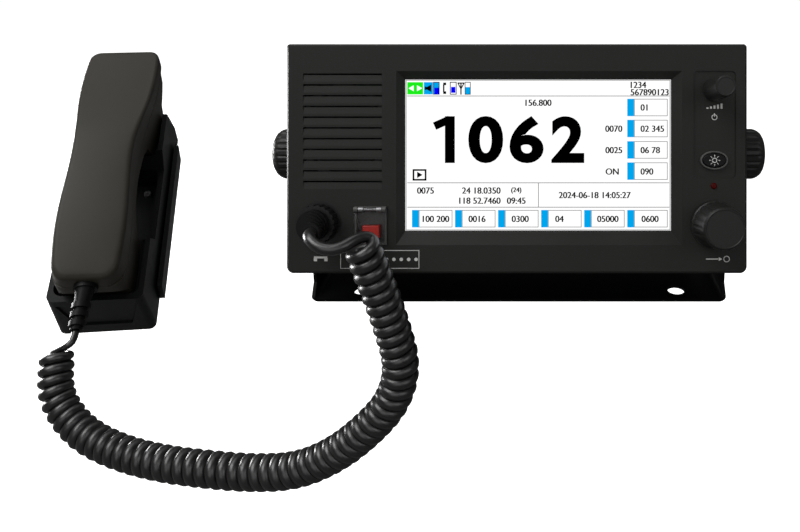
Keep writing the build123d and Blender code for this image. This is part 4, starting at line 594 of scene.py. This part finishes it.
# ---------------------------------------------------------------- handset back
# The handset's back is a thick black moulding, arched from end to end, full at both ends and
# narrow in the hand, with a round all along its edge and a slight crown. It closes on the front
# shell at a fine gap.
roll, turn, slope = (math.radians(degrees) for degrees in (7.5, 18, 35.4))
cradle_place = Matrix.Translation((-0.3221, 0.0490, -0.0808)) @ (
    Matrix.Rotation(turn, 4, "Z") @ Matrix.Rotation(roll, 4, "Y") @ Matrix.Rotation(slope, 4, "X")
)
# rows of a place along the handset and its half width at the parting line, in mm
HALF_WIDTHS = (
    (-2, 20.5), (7, 21.57), (14, 22.13), (20, 22.41), (29, 22.5), (45, 21.8), (62, 20.39),
    (79, 19.04), (96, 18.5), (112, 19.22), (128, 20.84), (145, 22.94), (162, 24.89), (178, 26.0),
    (190, 26.12), (197, 25.88), (203, 25.5),
)
# rows of a place, the half width and the height of the back's rim, in mm
RIM = (
    (-2, 19.4, 96.4), (10, 20.4, 99.0), (25, 21.7, 101.9), (40, 22.5, 104.6), (55, 22.0, 106.4),
    (70, 21.0, 107.9), (85, 20.1, 109.2), (100, 20.0, 110.2), (115, 21.0, 109.8), (130, 22.9, 107.0),
    (145, 24.7, 104.2), (160, 25.6, 101.3), (175, 26.0, 98.8), (190, 25.6, 96.4), (203, 24.9, 94.4),
)
PARTING = 0.0833
BACK = 0.098
ROUND = 0.0034
CROWN = 0.0009
SHELL_WIDTH = 0.052
SHELL_LENGTH = 0.205
SHELL_MIDDLE = 0.1005
MOUTH_CORNER = 0.011
EAR_CORNER = 0.008
EAR_START = 0.188
EAR_LENGTH = 0.013
SAME = 1e-5


def between(table, place, column=1):
    """Reads a table of places along the handset, in mm, at any place between its rows."""
    place = min(max(place, table[0][0]), table[-1][0])
    for first, second in zip(table, table[1:]):
        if place <= second[0]:
            share = (place - first[0]) / (second[0] - first[0])
            return first[column] + (second[column] - first[column]) * share
    return table[-1][column]


def pick(kind, test):
    """In edit mode, selects only the vertices, edges or faces that pass the test."""
    bpy.ops.mesh.select_mode(type=kind)
    bpy.ops.mesh.select_all(action="DESELECT")
    made = bmesh.from_edit_mesh(bpy.context.object.data)
    members = {"VERT": made.verts, "EDGE": made.edges, "FACE": made.faces}[kind]
    for member in members:
        if test(member):
            member.select_set(True)
    bmesh.update_edit_mesh(bpy.context.object.data)


bpy.ops.mesh.primitive_cube_add(size=1, location=(0, SHELL_MIDDLE, (PARTING + BACK) / 2))
shell = bpy.context.object
shell.scale = (SHELL_WIDTH, SHELL_LENGTH, BACK - PARTING)
bpy.ops.object.transform_apply(location=True, rotation=True, scale=True)
bpy.ops.object.mode_set(mode="EDIT")
for end, radius in ((-1, MOUTH_CORNER), (1, EAR_CORNER)):
    pick(
        "EDGE",
        lambda e: abs(e.verts[0].co.z - e.verts[1].co.z) > 0.01
        and all((v.co.y - SHELL_MIDDLE) * end > 0 for v in e.verts),
    )
    bpy.ops.mesh.bevel(offset=radius, segments=6, profile=0.5, affect="EDGES")
for place, _ in HALF_WIDTHS[2:-2]:
    bpy.ops.mesh.select_all(action="SELECT")
    bpy.ops.mesh.bisect(plane_co=(0, place / 1000, 0), plane_no=(0, 1, 0))
for across in (-0.012, 0, 0.012):
    bpy.ops.mesh.select_all(action="SELECT")
    bpy.ops.mesh.bisect(plane_co=(across, 0, 0), plane_no=(1, 0, 0))
bpy.ops.object.mode_set(mode="OBJECT")
for vertex in shell.data.vertices:
    widths = RIM if vertex.co.z > BACK - SAME else HALF_WIDTHS
    vertex.co.x *= between(widths, vertex.co.y * 1000) / (SHELL_WIDTH * 500)
bpy.ops.object.mode_set(mode="EDIT")
pick(
    "EDGE",
    lambda e: all(v.co.z > BACK - SAME for v in e.verts)
    and any(abs(f.normal.z) < 0.7 for f in e.link_faces),
)
bpy.ops.mesh.bevel(offset=ROUND, segments=5, profile=0.5, affect="EDGES")
pick(
    "EDGE",
    lambda e: all(v.co.z < PARTING + SAME for v in e.verts)
    and any(abs(f.normal.z) < 0.7 for f in e.link_faces),
)
bpy.ops.transform.edge_crease(value=1.0)
bpy.ops.object.mode_set(mode="OBJECT")
# the back is raised to its arch, crowned, and drawn out where it ends at the ear
for vertex in shell.data.vertices:
    across, place, level = vertex.co
    raised = min(1, (level - PARTING) / (BACK - ROUND - PARTING))
    vertex.co.z += raised * (between(RIM, place * 1000, 2) / 1000 - BACK)
    if level > BACK - SAME:
        vertex.co.z += CROWN * (1 - (across / 0.02) ** 2)
    vertex.co.y += min(1.0, max(0.0, (place - EAR_START) / EAR_LENGTH)) * (0.0050 + 0.12 * across)
smooth = shell.modifiers.new("smooth", "SUBSURF")
smooth.levels = smooth.render_levels = 2
bpy.ops.object.modifier_apply(modifier=smooth.name)
bpy.ops.object.shade_smooth_by_angle(angle=math.radians(40))
settle(shell, "handset_back", cradle_place, "handset", "handset_plastic")
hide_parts("handset_back_shell")

# ---------------------------------------------------------------- curly cord
# A round black rubber cord, wound as a close coil of about 20 mm over most of its length, with a
# short plain lead at the plug and at the handset. It is one cord, made in two halves that meet
# in the coil.
LEAD = 0.0031
FINE = 0.0023
RADIO_LEAD = [
    (-0.1072, -0.08813, 0.07263),
    (-0.1068, -0.0960, 0.0750),
    (-0.1005, -0.1010, 0.0712),
    (-0.0938, -0.1018, 0.0698),
    (-0.0879, -0.1000, 0.0704),
    (-0.0836, -0.0955, 0.0718),
    (-0.0790, -0.0895, 0.0718),
    (-0.0745, -0.0875, 0.0690),
]
COIL = [
    (-0.0800, -0.0920, 0.0665),
    (-0.0742, -0.0914, 0.0450),
    (-0.0676, -0.0921, 0.0184),
    (-0.0627, -0.0943, -0.0063),
    (-0.0695, -0.0962, -0.0292),
    (-0.0863, -0.0967, -0.0489),
    (-0.1064, -0.0947, -0.0679),
    (-0.1317, -0.0918, -0.0827),
    (-0.1617, -0.0860, -0.0896),
    (-0.1908, -0.0807, -0.0918),
    (-0.2221, -0.0737, -0.0941),
    (-0.2518, -0.0661, -0.0929),
    (-0.2784, -0.0574, -0.0870),
    (-0.2945, -0.0494, -0.0745),
    (-0.3018, -0.0424, -0.0585),
    (-0.3022, -0.0310, -0.0423),
]
COIL_MIDDLE = 7
HANDSET_LEAD = [
    (-0.2966, -0.0302, -0.0389),
    (-0.2940, -0.0260, -0.0372),
    (-0.29507, -0.02045, -0.03322),
]
TURNS = 57
STEPS = 30
LOOSEST = 0.62
LOOSE_SHARE = 0.3
LOOSE_TURN = 0.12
LOOSE_WIRE = 0.0004
RADIO_LEAD_STEPS = 40
HANDSET_LEAD_STEPS = 16


def smooth_line(route, steps=24):
    """Points along the smooth curve that has the route's points as its control points."""
    data = bpy.data.curves.new("route", "CURVE")
    data.dimensions = "3D"
    spline = data.splines.new("NURBS")
    spline.points.add(len(route) - 1)
    for point, place in zip(spline.points, route):
        point.co = (*place, 1)
    spline.order_u = 3
    spline.use_endpoint_u = True
    spline.resolution_u = steps
    guide = bpy.data.objects.new("route", data)
    mesh = bpy.data.meshes.new_from_object(guide)
    points = [vertex.co.copy() for vertex in mesh.vertices]
    bpy.data.objects.remove(guide)
    return points


def along(points, count):
    """The same line in equal steps."""
    lengths = [0.0]
    for a, b in zip(points, points[1:]):
        lengths.append(lengths[-1] + (b - a).length)
    result, index = [], 0
    for number in range(count):
        want = lengths[-1] * number / (count - 1)
        while index < len(points) - 2 and lengths[index + 1] < want:
            index += 1
        step = lengths[index + 1] - lengths[index]
        share = (want - lengths[index]) / step if step else 0
        result.append(points[index].lerp(points[index + 1], share))
    return result


def hose(name, points, radii, sides=12):
    """A closed round tube that follows the points, with a radius for each of them."""
    mesh = bpy.data.meshes.new(name)
    made = bmesh.new()
    count = len(points)
    side = (points[1] - points[0]).normalized().orthogonal().normalized()
    rings = []
    for number, point in enumerate(points):
        after = points[min(number + 1, count - 1)] - points[max(number - 1, 0)]
        after.normalize()
        side = (side - after * side.dot(after)).normalized()
        other = after.cross(side)
        rings.append([])
        for k in range(sides):
            angle = math.tau * k / sides
            out = side * math.cos(angle) + other * math.sin(angle)
            rings[-1].append(made.verts.new(point + radii[number] * out))
    for a, b in zip(rings, rings[1:]):
        for k in range(sides):
            made.faces.new((a[k], a[(k + 1) % sides], b[(k + 1) % sides], b[k]))
    made.faces.new(list(reversed(rings[0])))
    made.faces.new(rings[-1])
    bmesh.ops.recalc_face_normals(made, faces=made.faces)
    made.to_mesh(mesh)
    made.free()
    for face in mesh.polygons:
        face.use_smooth = True
    piece = bpy.data.objects.new(name, mesh)
    scene.collection.objects.link(piece)
    return piece


middle_point = tuple((Vector(COIL[COIL_MIDDLE]) + Vector(COIL[COIL_MIDDLE + 1])) / 2)
halves = [
    smooth_line([*COIL[: COIL_MIDDLE + 1], middle_point]),
    smooth_line([middle_point, *COIL[COIL_MIDDLE + 1 :]]),
]
spine = along(halves[0] + halves[1][1:], TURNS * STEPS + 1)
split = min(range(len(spine)), key=lambda n: (spine[n] - Vector(middle_point)).length)
# the turns lie close at both ends and open a little where the coil hangs lowest
shares = [number / (len(spine) - 1) for number in range(len(spine))]
loose = [max(0.0, 1 - abs(share - LOOSEST) / LOOSE_SHARE) for share in shares]
loose = [share * share * (3 - 2 * share) for share in loose]
turned_by = [0.0]
for share in loose[1:]:
    turned_by.append(turned_by[-1] + 1 - LOOSE_TURN * share)
winding = []
side = Vector((1, 0, 0))
for number, point in enumerate(spine):
    after = (spine[min(number + 1, len(spine) - 1)] - spine[max(number - 1, 0)]).normalized()
    side = (side - after * side.dot(after)).normalized()
    other = after.cross(side)
    angle = math.tau * TURNS * turned_by[number] / turned_by[-1]
    share = shares[number]
    # the coil widens over its first third and narrows again at the handset
    mean = 0.0066 + 0.0006 * min(1, share * 3) - 0.0006 * max(0, share - 0.85) / 0.15
    winding.append(point + mean * (side * math.cos(angle) + other * math.sin(angle)))

# the halves meet on the far side of a turn
split = max(range(split - STEPS // 2, split + STEPS // 2), key=lambda n: winding[n].y)
radio_lead = along(smooth_line([*RADIO_LEAD, tuple(winding[0])]), RADIO_LEAD_STEPS)
radio_half = radio_lead[:-1] + winding[: split + 1]
handset_lead = along(smooth_line([tuple(winding[-1]), *HANDSET_LEAD]), HANDSET_LEAD_STEPS)
handset_half = winding[split:] + handset_lead[1:]


def length_of(points):
    """The length of a line of points."""
    return sum((b - a).length for a, b in zip(points, points[1:]))


# the wire thickens from each plain lead to its full size in the coil
WOUND = 0.0035
cord_radio = hose(
    "curly_cord_radio_half",
    radio_half,
    [
        min(WOUND, LEAD + 0.00001 * max(0, number - RADIO_LEAD_STEPS))
        + LOOSE_WIRE * loose[max(0, number - RADIO_LEAD_STEPS + 1)]
        for number in range(len(radio_half))
    ],
)
cord_handset = hose(
    "curly_cord_handset_half",
    handset_half,
    [
        min(WOUND, FINE + 0.00005 * max(0, len(handset_half) - HANDSET_LEAD_STEPS - number))
        + LOOSE_WIRE * loose[min(len(loose) - 1, split + number)]
        for number in range(len(handset_half))
    ],
)
for piece, nodes in (
    (cord_radio, ("cord_lead_at_radio", "cord_coil_near_radio")),
    (cord_handset, ("cord_coil_near_handset", "cord_lead_at_handset")),
):
    piece.data.materials.append(FINISHES["cord_rubber"])
    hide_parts(*nodes)
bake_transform(cord_radio)
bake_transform(cord_handset)
round(length_of(radio_half), 3)
round(length_of(handset_half), 3)
